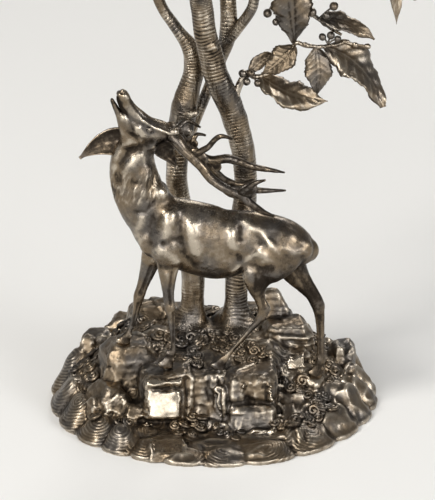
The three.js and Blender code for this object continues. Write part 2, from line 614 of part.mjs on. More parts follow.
// The bowl rests on the ring's coned seat and flares out to a scalloped rim
function glassBowl() {
  const seatTop = RING_BOTTOM + RING_HEIGHT;
  const seatLow = seatTop - 6;
  const bottom = RING_BOTTOM - 10;
  const rim = bottom + BOWL_HEIGHT;
  const inner = RING_RADIUS - 4;
  const profile = [
    [0, bottom], [38, bottom], [inner - 1, seatLow - 6], [inner - GAP, seatLow + GAP],
    [RING_RADIUS + 1.5 - GAP, seatTop + GAP], [76, seatTop + 12], [95, seatTop + 36],
    [BOWL_RIM_RADIUS, rim], [BOWL_RIM_RADIUS - BOWL_WALL * 0.8, rim + 0.6],
    [90, seatTop + 36], [52, seatLow + 6], [38, bottom + 7], [0, bottom + 6],
  ];
  const geometry = turned(profile, BOWL_LOBES * 4);
  const position = geometry.attributes.position;
  for (let i = 0; i < position.count; i++) {
    const p = new THREE.Vector3().fromBufferAttribute(position, i);
    const height = between(seatTop + 6, rim, p.z);
    const lobe = 1 + 0.035 * height * Math.cos(BOWL_LOBES * Math.atan2(p.y, p.x));
    position.setXYZ(i, p.x * lobe, p.y * lobe, p.z + 2.4 * height ** 3 * (lobe - 1) / 0.035);
  }
  return toSolid(geometry);
}

// Fasteners under the base

const HOOF_SEAT_DEPTH = 14;
const TREE_WASHER = { radius: 9, thick: 1.5, sides: 16 };
const TREE_NUT = { radius: 6.4, thick: 5, sides: 6 };
const HOOF_NUT = { radius: 3.6, thick: 2.6, sides: 6 };

function plateWithHole({ radius, thick, sides }, hole, at, top) {
  const outline = new THREE.Shape();
  for (let i = 0; i < sides; i++) {
    const turn = (i / sides) * 2 * Math.PI;
    outline[i ? 'lineTo' : 'moveTo'](radius * Math.cos(turn), radius * Math.sin(turn));
  }
  outline.closePath();
  outline.holes.push(new THREE.Path().absarc(0, 0, hole, 0, 2 * Math.PI, true));
  const options = { depth: thick, bevelEnabled: false, curveSegments: 4 };
  const geometry = new THREE.ExtrudeGeometry(outline, options);
  geometry.translate(at[0], at[1], top - thick);
  return geometry;
}

// Assembly

const centerpiece = new THREE.Group();

function add(name, geometry, finish) {
  const mesh = new THREE.Mesh(geometry, new THREE.MeshStandardMaterial(finish));
  mesh.name = name;
  centerpiece.add(mesh);
}

const trunkLeft = (grow = 0) => limb(TRUNK_LEFT, { sides: 10, steps: 1, grow });
const trunkRight = (grow = 0) => limb(TRUNK_RIGHT, { sides: 10, steps: 1, grow });
const backLimb = (grow = 0) => limb(BACK_LIMB, { sides: 8, steps: 1, grow });
const sideLimb = (grow = 0) => limb(SIDE_LIMB, { sides: 8, steps: 1, grow });
const lowTwig = (grow = 0) => limb(LOW_TWIG, { sides: 5, steps: 1, grow });
const upperTwig = (grow = 0) => limb(UPPER_TWIG, { sides: 6, steps: 1, grow });
const leg = (name, grow = 0) => limb(LEGS[name].stations, { sides: 8, steps: 1, grow });

// The ring's own space, with its gap, which the limbs and sprays stop short of
const ringRoomInner = RING_RADIUS - 6;
const ringRoomOuter = RING_RADIUS + 5.4;
const ringRoomTop = RING_BOTTOM + RING_HEIGHT + 3;
const ringRoom = toSolid(turned(
  [
    [ringRoomInner, RING_BOTTOM - GAP], [ringRoomOuter, RING_BOTTOM - GAP], [ringRoomOuter, ringRoomTop],
    [ringRoomInner, ringRoomTop], [ringRoomInner, RING_BOTTOM - GAP],
  ],
  RING_SEGMENTS,
));
const fitted = (solid, ...rooms) => mainBody(rooms.reduce((rest, room) => rest.subtract(room), solid));

function baseCasting() {
  const spokes = 3 * RIM_LOBES;
  let casting = hill({ spokes, hoops: HILL_HOOPS, inset: 0, sink: 0, floor: 0, swells: SWELLS });
  casting = join(casting, ...Object.values(BOULDERS).map(boulder));
  casting = casting.subtract(
    hill({ spokes: 20, hoops: CAVITY_HOOPS, inset: 10, sink: CAVITY_SINK, floor: -1, swells: [] }),
  );
  for (const [x, y] of TREE_STUDS) {
    casting = casting.add(upright(13, TREE_SEAT, 54, x, y, 12));
    casting = casting.subtract(upright(TREE_STUD_RADIUS + GAP, TREE_SEAT - 1, 60, x, y, 12));
  }
  for (const { hoof: [x, y], sole } of Object.values(LEGS)) {
    casting = casting.add(upright(6, sole - HOOF_SEAT_DEPTH, sole - 3, x, y, 8));
    casting = casting.subtract(upright(6.5, -1, sole - HOOF_SEAT_DEPTH, x, y, 8));
    casting = casting.subtract(upright(HOOF_STUD_RADIUS + GAP, 0, sole + 1, x, y, 8));
  }
  casting = casting.subtract(trunkLeft(GAP)).subtract(trunkRight(GAP));
  for (const name of Object.keys(LEGS)) casting = casting.subtract(leg(name, GAP));
  return mainBody(casting);
}

add('base_casting', toGeometry(baseCasting()), DARK_SILVER);

const studEnd = TREE_SEAT - TREE_WASHER.thick - TREE_NUT.thick - 3;
const treeStud = ([x, y]) => upright(TREE_STUD_RADIUS, studEnd, 53, x, y, 12);
add('trunk_left', toGeometry(fitted(join(trunkLeft(), treeStud(TREE_STUDS[0])), ringRoom)), SILVER);
add('trunk_right', toGeometry(fitted(join(trunkRight(), treeStud(TREE_STUDS[1])), ringRoom)), SILVER);
add('back_limb', toGeometry(fitted(backLimb(), trunkLeft(GAP), ringRoom)), SILVER);
add('side_limb', toGeometry(fitted(sideLimb(), backLimb(GAP), ringRoom)), SILVER);
['left', 'right'].forEach((side, i) => {
  const washerTop = TREE_SEAT - GAP;
  const nutTop = washerTop - TREE_WASHER.thick - GAP;
  const hole = TREE_STUD_RADIUS + GAP;
  add(`tree_washer_${side}`, plateWithHole(TREE_WASHER, hole, TREE_STUDS[i], washerTop), STEEL);
  add(`tree_nut_${side}`, plateWithHole(TREE_NUT, hole, TREE_STUDS[i], nutTop), STEEL);
});

const twigBuds = LOW_TWIG.slice(-2).map(([x, y, z]) => ball([x, y, z], 2.1));
add('low_twig', toGeometry(fitted(join(lowTwig(), ...twigBuds), trunkRight(GAP))), SILVER);
add('upper_twig', toGeometry(fitted(upperTwig(), sideLimb(GAP))), SILVER);
const twigRoom = join(lowTwig(GAP), upperTwig(GAP), trunkRight(GAP));
const bunches = {};
for (const [name, { knot, berries }] of Object.entries(BUNCHES)) {
  bunches[name] = fitted(bunch(knot, berries), twigRoom);
  add(name, toGeometry(bunches[name]), DARK_SILVER);
}
const leafRoom = join(twigRoom, ...Object.values(bunches));
for (const [name, shape] of Object.entries(LEAVES)) {
  add(name, toGeometry(fitted(leaf(shape), leafRoom)), SILVER);
}

const bodyRoom = body(GAP);
const headRoom = head(GAP);
add('stag_body', toGeometry(body()), SILVER);
add('stag_head', toGeometry(fitted(head(), bodyRoom)), SILVER);
for (const [name, { hoof, sole }] of Object.entries(LEGS)) {
  const studFoot = sole - HOOF_SEAT_DEPTH - HOOF_NUT.thick - 1.5;
  const stud = upright(HOOF_STUD_RADIUS, studFoot, sole + 2, hoof[0], hoof[1], 6);
  add(name, toGeometry(fitted(join(leg(name), stud), bodyRoom)), SILVER);
  const nutTop = sole - HOOF_SEAT_DEPTH - GAP;
  const nut = plateWithHole(HOOF_NUT, HOOF_STUD_RADIUS + GAP, hoof, nutTop);
  add(`${name.replace('leg', '')}_hoof_nut`, nut, STEEL);
}
const tail = limb(onMiddle(TAIL), { sides: 6, steps: 1 });
add('tail', toGeometry(fitted(tail, bodyRoom)), SILVER);
for (const [name, shape] of Object.entries(EARS)) {
  const ear = leaf({ ...shape, fold: 0.5, teeth: false });
  add(name, toGeometry(fitted(ear, bodyRoom, headRoom)), SILVER);
}
for (const [name, tines] of Object.entries(ANTLERS)) {
  add(name, toGeometry(fitted(antler(tines), headRoom)), SILVER);
}

add('bowl_ring', toGeometry(bowlRing()), SILVER);
for (let i = 0; i < CROWN_SPRAYS; i++) {
  const spray = i ? crownSpray(8 + 4 * (i % 3)) : join(crownSpray(10), hangingTwig());
  const turn = new THREE.Matrix4().makeRotationZ((i / CROWN_SPRAYS) * 2 * Math.PI);
  const placed = toSolid(toGeometry(spray).applyMatrix4(turn));
  add(`crown_spray_${i + 1}`, toGeometry(fitted(placed, ringRoom)), SILVER);
}
add('glass_bowl', toGeometry(glassBowl()), GLASS);

// The object's box is centred over the origin
centerpiece.updateMatrixWorld(true);
const middle = new THREE.Box3().setFromObject(centerpiece).getCenter(new THREE.Vector3());
centerpiece.position.set(-middle.x, -middle.y, 0);

export default centerpiece;
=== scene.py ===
"""A silver-plated table centerpiece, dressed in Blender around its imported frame.

A bellowing stag stands on a rocky base, before a tree of two crossing trunks that carries a glass bowl.
Everything is in metres, +Z up, with -Y towards the viewer.
"""
import itertools
import math

import bpy
import numpy as np
from mathutils import Matrix, Vector


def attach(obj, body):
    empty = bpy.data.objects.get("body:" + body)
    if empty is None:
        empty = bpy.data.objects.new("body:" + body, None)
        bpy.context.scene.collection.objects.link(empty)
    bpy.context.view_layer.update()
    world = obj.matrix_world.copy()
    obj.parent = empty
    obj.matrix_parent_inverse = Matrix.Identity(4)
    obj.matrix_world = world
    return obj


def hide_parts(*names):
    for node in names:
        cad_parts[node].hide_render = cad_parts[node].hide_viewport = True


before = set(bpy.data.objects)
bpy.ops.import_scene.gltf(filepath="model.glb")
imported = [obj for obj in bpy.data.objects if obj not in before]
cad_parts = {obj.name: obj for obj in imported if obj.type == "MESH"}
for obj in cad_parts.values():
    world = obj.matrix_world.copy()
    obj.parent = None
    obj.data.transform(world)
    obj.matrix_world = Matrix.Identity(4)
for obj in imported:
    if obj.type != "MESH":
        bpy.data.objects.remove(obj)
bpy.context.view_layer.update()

bl_info = {
    "name": "Stag Centerpiece",
    "version": (1, 0, 0),
    "blender": (4, 5, 0),
    "location": "3D View > Sidebar > Centerpiece",
    "description": "Makes a silver-plated stag centerpiece around its frame",
    "category": "Add Mesh",
}

MM = 0.001
STAND = "stand"
BOWL = "bowl"


# What a user may change

COLOUR = {"subtype": "COLOR", "size": 3, "min": 0, "max": 1}


class CenterpieceSizes(bpy.types.PropertyGroup):
    """Sizes of the relief and of the ornaments that repeat."""

    rock_relief: bpy.props.FloatProperty(
        name="Rock relief", description="Depth of the chiselled facets on the base",
        default=1.1 * MM, min=0, unit="LENGTH",
    )
    curl_width: bpy.props.FloatProperty(
        name="Moss curl", description="Width of one scroll of the moss", default=8.6 * MM, min=1 * MM, unit="LENGTH",
    )
    bark_pitch: bpy.props.FloatProperty(
        name="Bark rings", description="Distance between two rings of the trunks' bark",
        default=2.6 * MM, min=0.5 * MM, unit="LENGTH",
    )


class CenterpieceFinish(bpy.types.PropertyGroup):
    """Colours of the plate, from worn high points to tarnished hollows."""

    bright: bpy.props.FloatVectorProperty(
        name="Worn silver", description="Silver on the high points, where handling has polished it",
        default=(0.48, 0.42, 0.34), **COLOUR,
    )
    plain: bpy.props.FloatVectorProperty(
        name="Aged silver", description="Silver on the open surfaces", default=(0.19, 0.147, 0.101), **COLOUR,
    )
    stain: bpy.props.FloatVectorProperty(
        name="Stained silver", description="Cooler grey that comes and goes over the open surfaces",
        default=(0.125, 0.112, 0.1), **COLOUR,
    )
    tarnish: bpy.props.FloatVectorProperty(
        name="Tarnish", description="Oxide that fills the hollows", default=(0.028, 0.022, 0.017), **COLOUR,
    )


class CenterpieceStage(bpy.types.PropertyGroup):
    """The camera and the studio."""

    pitch: bpy.props.FloatProperty(
        name="Camera pitch", description="How far the camera looks down",
        default=math.radians(20.9), subtype="ANGLE", unit="ROTATION",
    )
    lens: bpy.props.FloatProperty(
        name="Camera lens", description="Focal length on a 36 mm sensor, in millimetres", default=198, min=10,
    )
    lamps: bpy.props.FloatProperty(
        name="Lamp strength", description="Share of the lamps' full power", default=1, min=0, subtype="FACTOR",
    )
    floor: bpy.props.FloatVectorProperty(
        name="Floor colour", description="Pale matt surface under the object", default=(0.8, 0.8, 0.79), **COLOUR,
    )


def sizes():
    return bpy.context.scene.centerpiece_sizes


def finish():
    return bpy.context.scene.centerpiece_finish


# Shader maths


class Wire:
    """A shader socket that takes part in sums with other wires and with numbers."""

    def __init__(self, graph, socket):
        self.graph = graph
        self.socket = socket

    def other(self, name):
        """Another output of the same node."""
        return Wire(self.graph, self.socket.node.outputs[name])

    def __add__(self, other):
        return self.graph.sum("ADD", self, other)

    def __radd__(self, other):
        return self.graph.sum("ADD", other, self)

    def __sub__(self, other):
        return self.graph.sum("SUBTRACT", self, other)

    def __rsub__(self, other):
        return self.graph.sum("SUBTRACT", other, self)

    def __mul__(self, other):
        return self.graph.sum("MULTIPLY", self, other)

    def __rmul__(self, other):
        return self.graph.sum("MULTIPLY", other, self)


class Graph:
    """The node tree of one material, world or Geometry Nodes group."""

    def __init__(self, tree):
        self.tree = tree
        tree.nodes.clear()

    def node(self, kind, settings=None, inputs=None, output=0):
        """One node: its settings come first, then the values or wires of its sockets."""
        made = self.tree.nodes.new(kind)
        for name, value in (settings or {}).items():
            setattr(made, name, value)
        for name, value in (inputs or {}).items():
            if isinstance(value, Wire):
                self.tree.links.new(value.socket, made.inputs[name])
            else:
                made.inputs[name].default_value = value
        return Wire(self, made.outputs[output]) if made.outputs else made

    def sum(self, operation, first, second):
        return self.node("ShaderNodeMath", {"operation": operation}, {0: first, 1: second})

    def mix(self, share, first, second):
        return self.node("ShaderNodeMix", {"data_type": "RGBA"}, {0: share, 6: first, 7: second}, output=2)

    def rise(self, value, low, high):
        """0 below low, 1 above high and a smooth step between; low may be above high."""
        return self.node(
            "ShaderNodeMapRange",
            {"interpolation_type": "SMOOTHSTEP"},
            {"Value": value, "From Min": low, "From Max": high},
        )

    def attribute(self, name):
        return self.node("ShaderNodeAttribute", {"attribute_name": name}, output=2)

    def place(self, stretch=(1, 1, 1)):
        """Object coordinates, stretched along their axes."""
        where = self.node("ShaderNodeTexCoord", output=3)
        return self.node("ShaderNodeMapping", inputs={"Vector": where, "Scale": stretch})

    def grain(self, where, scale, detail=3, roughness=0.55):
        inputs = {"Vector": where, "Scale": scale, "Detail": detail, "Roughness": roughness}
        return self.node("ShaderNodeTexNoise", inputs=inputs)

    def bump(self, strength, depth, height):
        return self.node("ShaderNodeBump", inputs={"Strength": strength, "Distance": depth, "Height": height})

    def surface(self, **inputs):
        """The surface of a material, with its inputs' names joined by underscores."""
        inputs = {name.replace("_", " "): value for name, value in inputs.items()}
        shader = self.node("ShaderNodeBsdfPrincipled", inputs=inputs)
        self.node("ShaderNodeOutputMaterial", inputs={"Surface": shader})


def opaque(colour):
    return (*colour, 1)


def new_material(name):
    material = bpy.data.materials.new(name)
    material.use_nodes = True
    return material, Graph(material.node_tree)


def coat_relief(graph):
    """A fine short coat, or the marks of a chasing tool."""
    return graph.grain(graph.place((1, 1, 0.4)), 1500, 3) + graph.grain(graph.place(), 420, 3) * 0.6


def furrow_relief(graph):
    """Furrows along an antler."""
    return graph.grain(graph.place((0.3, 1, 1)), 1300, 3)


ARC_PITCH = 2.5


def rock_relief(graph):
    """Fine arcs round the middle of each fan of moss, pitted stone on the rocks, and smooth cut faces."""
    wander = graph.grain(graph.place(), 160, 2)
    arcs = graph.sum("SINE", graph.attribute("arc") * (2 * math.pi / ARC_PITCH) + wander * 5, 0)
    pits = graph.grain(graph.place(), 420, 5, 0.65)
    swirl = graph.attribute("swirl")
    folds = graph.grain(graph.place((1, 1, 0.35)), 330, 3)
    ground = graph.rise(arcs, -0.9, 0.9) * swirl * 0.7 + (folds * 1.1 + 0.1) * (1 - swirl) + pits * 0.35
    cracks = graph.node("ShaderNodeTexVoronoi", {"feature": "F1"}, {"Vector": graph.place(), "Scale": 260})
    stone = pits * 0.8 + cracks * 0.35
    rock = graph.attribute("rock")
    rough = ground * (1 - rock) + stone * rock
    return rough * (1 - graph.attribute("polish") * 0.85) + graph.attribute("polish") * 0.5


def moss_relief(graph):
    """The pits of the cast scrolls."""
    return graph.grain(graph.place(), 600, 4)


def bark_relief(graph):
    """Thin rings round the limb, cut by short upright ticks."""
    along = graph.attribute("along")
    wander = graph.grain(graph.place(), 70, 2)
    wave = graph.sum("SINE", along * (2 * math.pi * MM / sizes().bark_pitch) + wander * 7, 0)
    patches = graph.rise(graph.grain(graph.place(), 40, 2), 0.42, 0.58)
    ticks = graph.grain(graph.place((1, 1, 0.22)), 900, 3)
    rings = graph.rise(wave, -1, -0.3) * patches * (1 - graph.attribute("low"))
    return rings * 0.6 + ticks * 0.9 + graph.grain(graph.place(), 260, 4) * 0.9


# How far clouds, specks and the fine relief each shift a point towards worn or tarnished
CLOUDS = 0.7
SPECKS = 0.45
GRAIN = 0.35


def silver(name, relief, depth, dark=0.0, gloss=0.26, polish=0.0):
    """Aged silver plate: polished on its high points, tarnished in its hollows.

    The surface's own attribute "hollow" runs from 0 on a crest to 1 in a hollow; on the stag and the base it also
    carries painted shade and painted light. "polish" marks faces that were cut and polished, where a finish has them.
    """
    material, graph = new_material(name)
    colours = finish()
    where = graph.place()
    fine = relief(graph)
    clouds = graph.grain(where, 55, 4)
    specks = graph.grain(where, 420, 3)
    under = graph.attribute("hollow") + (clouds - 0.5) * CLOUDS + (specks - 0.5) * SPECKS
    under = under + (0.5 - fine) * GRAIN + dark
    if polish:
        under = under - graph.attribute("polish") * polish
    tarnished = graph.rise(under, 0.5, 0.98)
    worn = graph.rise(under, 0.46, -0.1)
    stains = graph.rise(graph.grain(where, 34, 3), 0.42, 0.62)
    base = graph.mix(stains, opaque(colours.plain), opaque(colours.stain))
    base = graph.mix(tarnished, base, opaque(colours.tarnish))
    base = graph.mix(worn, base, opaque(colours.bright))
    roughness = gloss + tarnished * 0.26 + (clouds - 0.5) * 0.16 + (specks - 0.5) * 0.1
    if polish:
        roughness = roughness - graph.attribute("polish") * 0.17
    bump = graph.bump(0.7, depth, fine)
    graph.surface(Base_Color=base, Roughness=roughness, Normal=bump, Metallic=1.0)
    return material


def plain_steel(name):
    """Turned steel of the nuts and washers."""
    material, graph = new_material(name)
    rust = graph.rise(graph.grain(graph.place(), 300, 4), 0.56, 0.7)
    base = graph.mix(rust, (0.42, 0.41, 0.4, 1), (0.11, 0.07, 0.045, 1))
    lines = graph.grain(graph.place((1, 1, 12)), 500, 2)
    bump = graph.bump(0.4, 0.1 * MM, lines)
    graph.surface(Base_Color=base, Roughness=0.34 + rust * 0.3, Normal=bump, Metallic=1.0)
    return material


def cut_glass(name):
    """Clear polished glass of the bowl."""
    material, graph = new_material(name)
    roughness = 0.015 + graph.grain(graph.place(), 38, 3) * 0.03
    graph.surface(Base_Color=(0.97, 0.99, 0.985, 1), Roughness=roughness, IOR=1.51, Transmission_Weight=1.0)
    return material


# Stage


class CENTERPIECE_OT_stage(bpy.types.Operator):
    """Set the camera, the lamps, the world and the pale floor"""

    bl_idname = "centerpiece.stage"
    bl_label = "Stage"

    CAMERA_PLACE = (3.46 * MM, -1935.24 * MM, 860.84 * MM)
    FLOOR_REACH = 7.0
    SCREEN_POWER = 3.6
    # Each screen from west to east: where it begins to brighten, is bright, begins to fade and is gone
    SCREENS = ((-0.66, -0.56, 0.08, 0.16), (0.42, 0.48, 0.72, 0.8))
    AIM = (0, 0, 0.2)
    # Name, place, width, power and colour of each lamp
    LAMPS = (
        ("key_lamp", (-1.5, -1.3, 2.1), 0.8, 44, (1, 0.97, 0.92)),
        ("fill_lamp", (1.9, -1.5, 1.1), 0.9, 16, (0.95, 0.97, 1)),
        ("back_lamp", (0.7, 1.8, 1.7), 0.8, 13, (1, 0.98, 0.95)),
    )

    def execute(self, context):
        stage = context.scene.centerpiece_stage
        self.make_camera(context, stage)
        self.make_floor(stage)
        self.make_world(context)
        for name, place, width, power, colour in self.LAMPS:
            self.make_lamp(name, place, width, power * stage.lamps, colour)
        context.scene.view_settings.view_transform = "Standard"
        return {"FINISHED"}

    def make_camera(self, context, stage):
        lens = bpy.data.cameras.new("camera")
        lens.lens = stage.lens
        lens.clip_end = 50
        camera = bpy.data.objects.new("camera", lens)
        camera.location = self.CAMERA_PLACE
        camera.rotation_euler = (math.pi / 2 - stage.pitch, 0, 0)
        context.scene.collection.objects.link(camera)
        context.scene.camera = camera

    def make_floor(self, stage):
        reach = self.FLOOR_REACH
        corners = [(-reach, -reach, 0), (reach, -reach, 0), (reach, reach, 0), (-reach, reach, 0)]
        floor = new_object("floor", np.array(corners) / MM, [(0, 1, 2, 3)])
        material, graph = new_material("pale_floor")
        graph.surface(Base_Color=opaque(stage.floor), Roughness=0.75)
        floor.data.materials.append(material)

    def make_world(self, context):
        """A studio with pale walls and two bright screens towards the viewer, under a dark ceiling."""
        world = bpy.data.worlds.new("studio")
        context.scene.world = world
        world.use_nodes = True
        graph = Graph(world.node_tree)
        east = graph.node("ShaderNodeSeparateXYZ", inputs={"Vector": graph.node("ShaderNodeTexCoord")})
        north, up = east.other("Y"), east.other("Z")
        left, right = (graph.rise(east, a, b) * graph.rise(east, d, c) for a, b, c, d in self.SCREENS)
        between = graph.rise(up, 0.62, 0.5) * graph.rise(up, -0.02, 0.04)
        screens = (left + right) * graph.rise(north, 0, -0.2) * between
        walls = graph.rise(up, 0.6, 0.1) * 0.15 + 0.26
        strength = walls + screens * self.SCREEN_POWER
        light = graph.node("ShaderNodeBackground", inputs={"Color": (1, 0.985, 0.96, 1), "Strength": strength})
        graph.node("ShaderNodeOutputWorld", inputs={"Surface": light})

    def make_lamp(self, name, place, width, power, colour):
        data = bpy.data.lights.new(name, "AREA")
        data.shape, data.size, data.energy, data.color = "DISK", width, power, colour
        lamp = bpy.data.objects.new(name, data)
        lamp.location = place
        lamp.rotation_euler = (Vector(self.AIM) - Vector(place)).to_track_quat("-Z", "Y").to_euler()
        bpy.context.scene.collection.objects.link(lamp)


# Shapes. A shape is an array of points, in millimetres, and a list of faces.


def unit(vectors):
    return vectors / np.linalg.norm(vectors, axis=-1, keepdims=True)


def step(low, high, value):
    """0 below low, 1 above high and a smooth step between."""
    share = np.clip((value - low) / (high - low), 0, 1)
    return share * share * (3 - 2 * share)


def smooth_rows(stations, steps):
    """Rows on a smooth curve through the stations, with so many steps from one to the next.

    A station with one half size is given it twice.
    """
    rows = np.array([row if len(row) > 4 else (*row, row[-1]) for row in stations], float)
    padded = np.vstack([2 * rows[0] - rows[1], rows, 2 * rows[-1] - rows[-2]])
    spans = len(rows) - 1
    place = np.arange(spans * steps + 1) / steps
    span = np.minimum(place.astype(int), spans - 1)
    t = (place - span)[:, None]
    a, b, c, d = (padded[span + k] for k in range(4))
    return 0.5 * (2 * b + (c - a) * t + (2 * a - 5 * b + 4 * c - d) * t**2 + (3 * b - a - 3 * c + d) * t**3)


def skin(rings):
    """A closed skin over rings of points, with a flat cap at both ends."""
    rows, sides = rings.shape[:2]
    index = np.arange(rows * sides).reshape(rows, sides)
    after = np.roll(index, -1, axis=1)
    walls = np.stack([index[:-1], after[:-1], after[1:], index[1:]], axis=-1).reshape(-1, 4).tolist()
    first, last = rows * sides, rows * sides + 1
    caps = [(first, b, a) for a, b in zip(index[0], after[0])]
    caps += [(last, a, b) for a, b in zip(index[-1], after[-1])]
    return np.vstack([rings.reshape(-1, 3), rings[0].mean(0), rings[-1].mean(0)]), walls + caps


def tube(stations, sides=24, steps=5, across=(0, 1, 0)):
    """A closed tube. Each station is x, y, z and its half size across and in the bend's plane."""
    rows = smooth_rows(stations, steps)
    rows[:, 3:] = np.maximum(rows[:, 3:], 0.2)
    along = unit(np.gradient(rows[:, :3], axis=0))
    side = unit(np.array(across) - along * (along @ np.array(across))[:, None])
    rise = np.cross(along, side)
    turn = np.arange(sides) * (2 * np.pi / sides)
    wide = (rows[:, 3:4] * np.cos(turn))[..., None] * side[:, None]
    deep = (rows[:, 4:5] * np.sin(turn))[..., None] * rise[:, None]
    return skin(rows[:, None, :3] + wide + deep)


def lathe(profile, sides):
    """Rings turned round the Z axis from pairs of radius and height."""
    turn = np.arange(sides) * (2 * np.pi / sides)
    rows = np.array(profile, float)
    height = np.broadcast_to(rows[:, 1:], (len(rows), sides))
    return np.stack([rows[:, :1] * np.cos(turn), rows[:, :1] * np.sin(turn), height], axis=-1)


def mass(middle, radii, lean=0):
    """A rounded mass, leaned forward about the Y axis by so many degrees."""
    height = np.linspace(-0.49, 0.49, 11) * np.pi
    points, faces = skin(lathe(np.column_stack([np.cos(height), np.sin(height)]), 20))
    turned = np.array(Matrix.Rotation(math.radians(lean), 3, "Y"))
    return points * radii @ turned.T + middle, faces


def mirrored(stations):
    return [(x, -y, z, *size) for x, y, z, *size in stations]


def shifted(stations, y):
    return [(a, b + y, *rest) for a, b, *rest in stations]


def merged(shapes):
    points, faces, start = [], [], 0
    for shape_points, shape_faces in shapes:
        points.append(shape_points)
        faces += [[start + i for i in face] for face in shape_faces]
        start += len(shape_points)
    return np.vstack(points), faces


def new_object(name, points, faces):
    """An object from points in millimetres."""
    mesh = bpy.data.meshes.new(name)
    mesh.from_pydata((np.asarray(points) * MM).tolist(), [], faces)
    mesh.polygons.foreach_set("use_smooth", [True] * len(mesh.polygons))
    mesh.update()
    made = bpy.data.objects.new(name, mesh)
    bpy.context.scene.collection.objects.link(made)
    return made


def settle(made):
    """Works an object's modifiers into its mesh."""
    old = made.data
    seen = made.evaluated_get(bpy.context.evaluated_depsgraph_get())
    made.data = bpy.data.meshes.new_from_object(seen)
    made.modifiers.clear()
    made.data.name = made.name
    bpy.data.meshes.remove(old)
    made.data.polygons.foreach_set("use_smooth", [True] * len(made.data.polygons))
    return made


# Size of the cells that join shapes into one skin
CELLS = {"stag_skin": 0.8, "tree_wood": 0.95, "rocky_base": 1.12}


def fused(name, shapes):
    """One closed skin round shapes that overlap."""
    made = new_object(name, *merged(shapes))
    remesh = made.modifiers.new("fuse", "REMESH")
    remesh.mode = "VOXEL"
    remesh.voxel_size = CELLS[name] * MM
    return settle(made)


def finished(made, material, body, *nodes):
    """Gives a piece its material, its body and the CAD nodes that it stands for."""
    made.data.materials.clear()
    made.data.materials.append(material)
    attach(made, body)
    if nodes:
        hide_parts(*nodes)


# Relief


class Noise:
    """Smooth random values from -1 to 1 in space, the same in every run."""

    SIZE = 32

    def __init__(self, seed):
        self.lattice = np.random.default_rng(seed).uniform(-1, 1, (self.SIZE,) * 3)

    def __call__(self, points, pitch):
        cells = points / pitch
        low = np.floor(cells).astype(int)
        share = cells - low
        share = share * share * (3 - 2 * share)
        total = 0
        for corner in itertools.product((0, 1), repeat=3):
            weight = np.prod(np.where(corner, share, 1 - share), axis=1)
            total = total + weight * self.lattice[tuple(((low + corner) % self.SIZE).T)]
        return total


def chiselled(points, pitch, seed):
    """Height of broken rock: every cell of an uneven grid has its own level and tilt."""
    size = 16
    grid = (size,) * 3
    rng = np.random.default_rng(seed)
    jitter = rng.uniform(0.1, 0.9, (*grid, 3))
    tilt = rng.uniform(-1, 1, (*grid, 3))
    level = rng.uniform(-1, 1, grid)
    cells = points / pitch
    low = np.floor(cells).astype(int)
    nearest = np.full(len(points), np.inf)
    height = np.zeros(len(points))
    for corner in itertools.product((-1, 0, 1), repeat=3):
        cell = low + corner
        index = tuple((cell % size).T)
        away = cells - cell - jitter[index]
        apart = (away**2).sum(axis=1)
        closer = apart < nearest
        nearest = np.where(closer, apart, nearest)
        height = np.where(closer, (away * tilt[index]).sum(axis=1) + 0.5 * level[index], height)
    return height


def off_line(points, line):
    """How far points lie from a line through several corners, in as many dimensions as these have."""
    line = np.array(line, float)
    places = points[:, : line.shape[1]]
    best = np.full(len(points), np.inf)
    for a, b in zip(line[:-1], line[1:]):
        way = b - a
        share = np.clip((places - a) @ way / (way @ way), 0, 1)
        best = np.minimum(best, np.linalg.norm(places - a - share[:, None] * way, axis=1))
    return best


def distance(points, place):
    return np.linalg.norm(points - place, axis=1)


def near(away, width):
    """1 at no distance, fading out within twice the width."""
    return np.exp(-((away / width) ** 2))


def strokes(points, table, widen=1):
    """The height of ridges and grooves along lines, from rows of height, half width and line."""
    return sum(rise * near(off_line(points, line), widen * width) for rise, width, line in table)


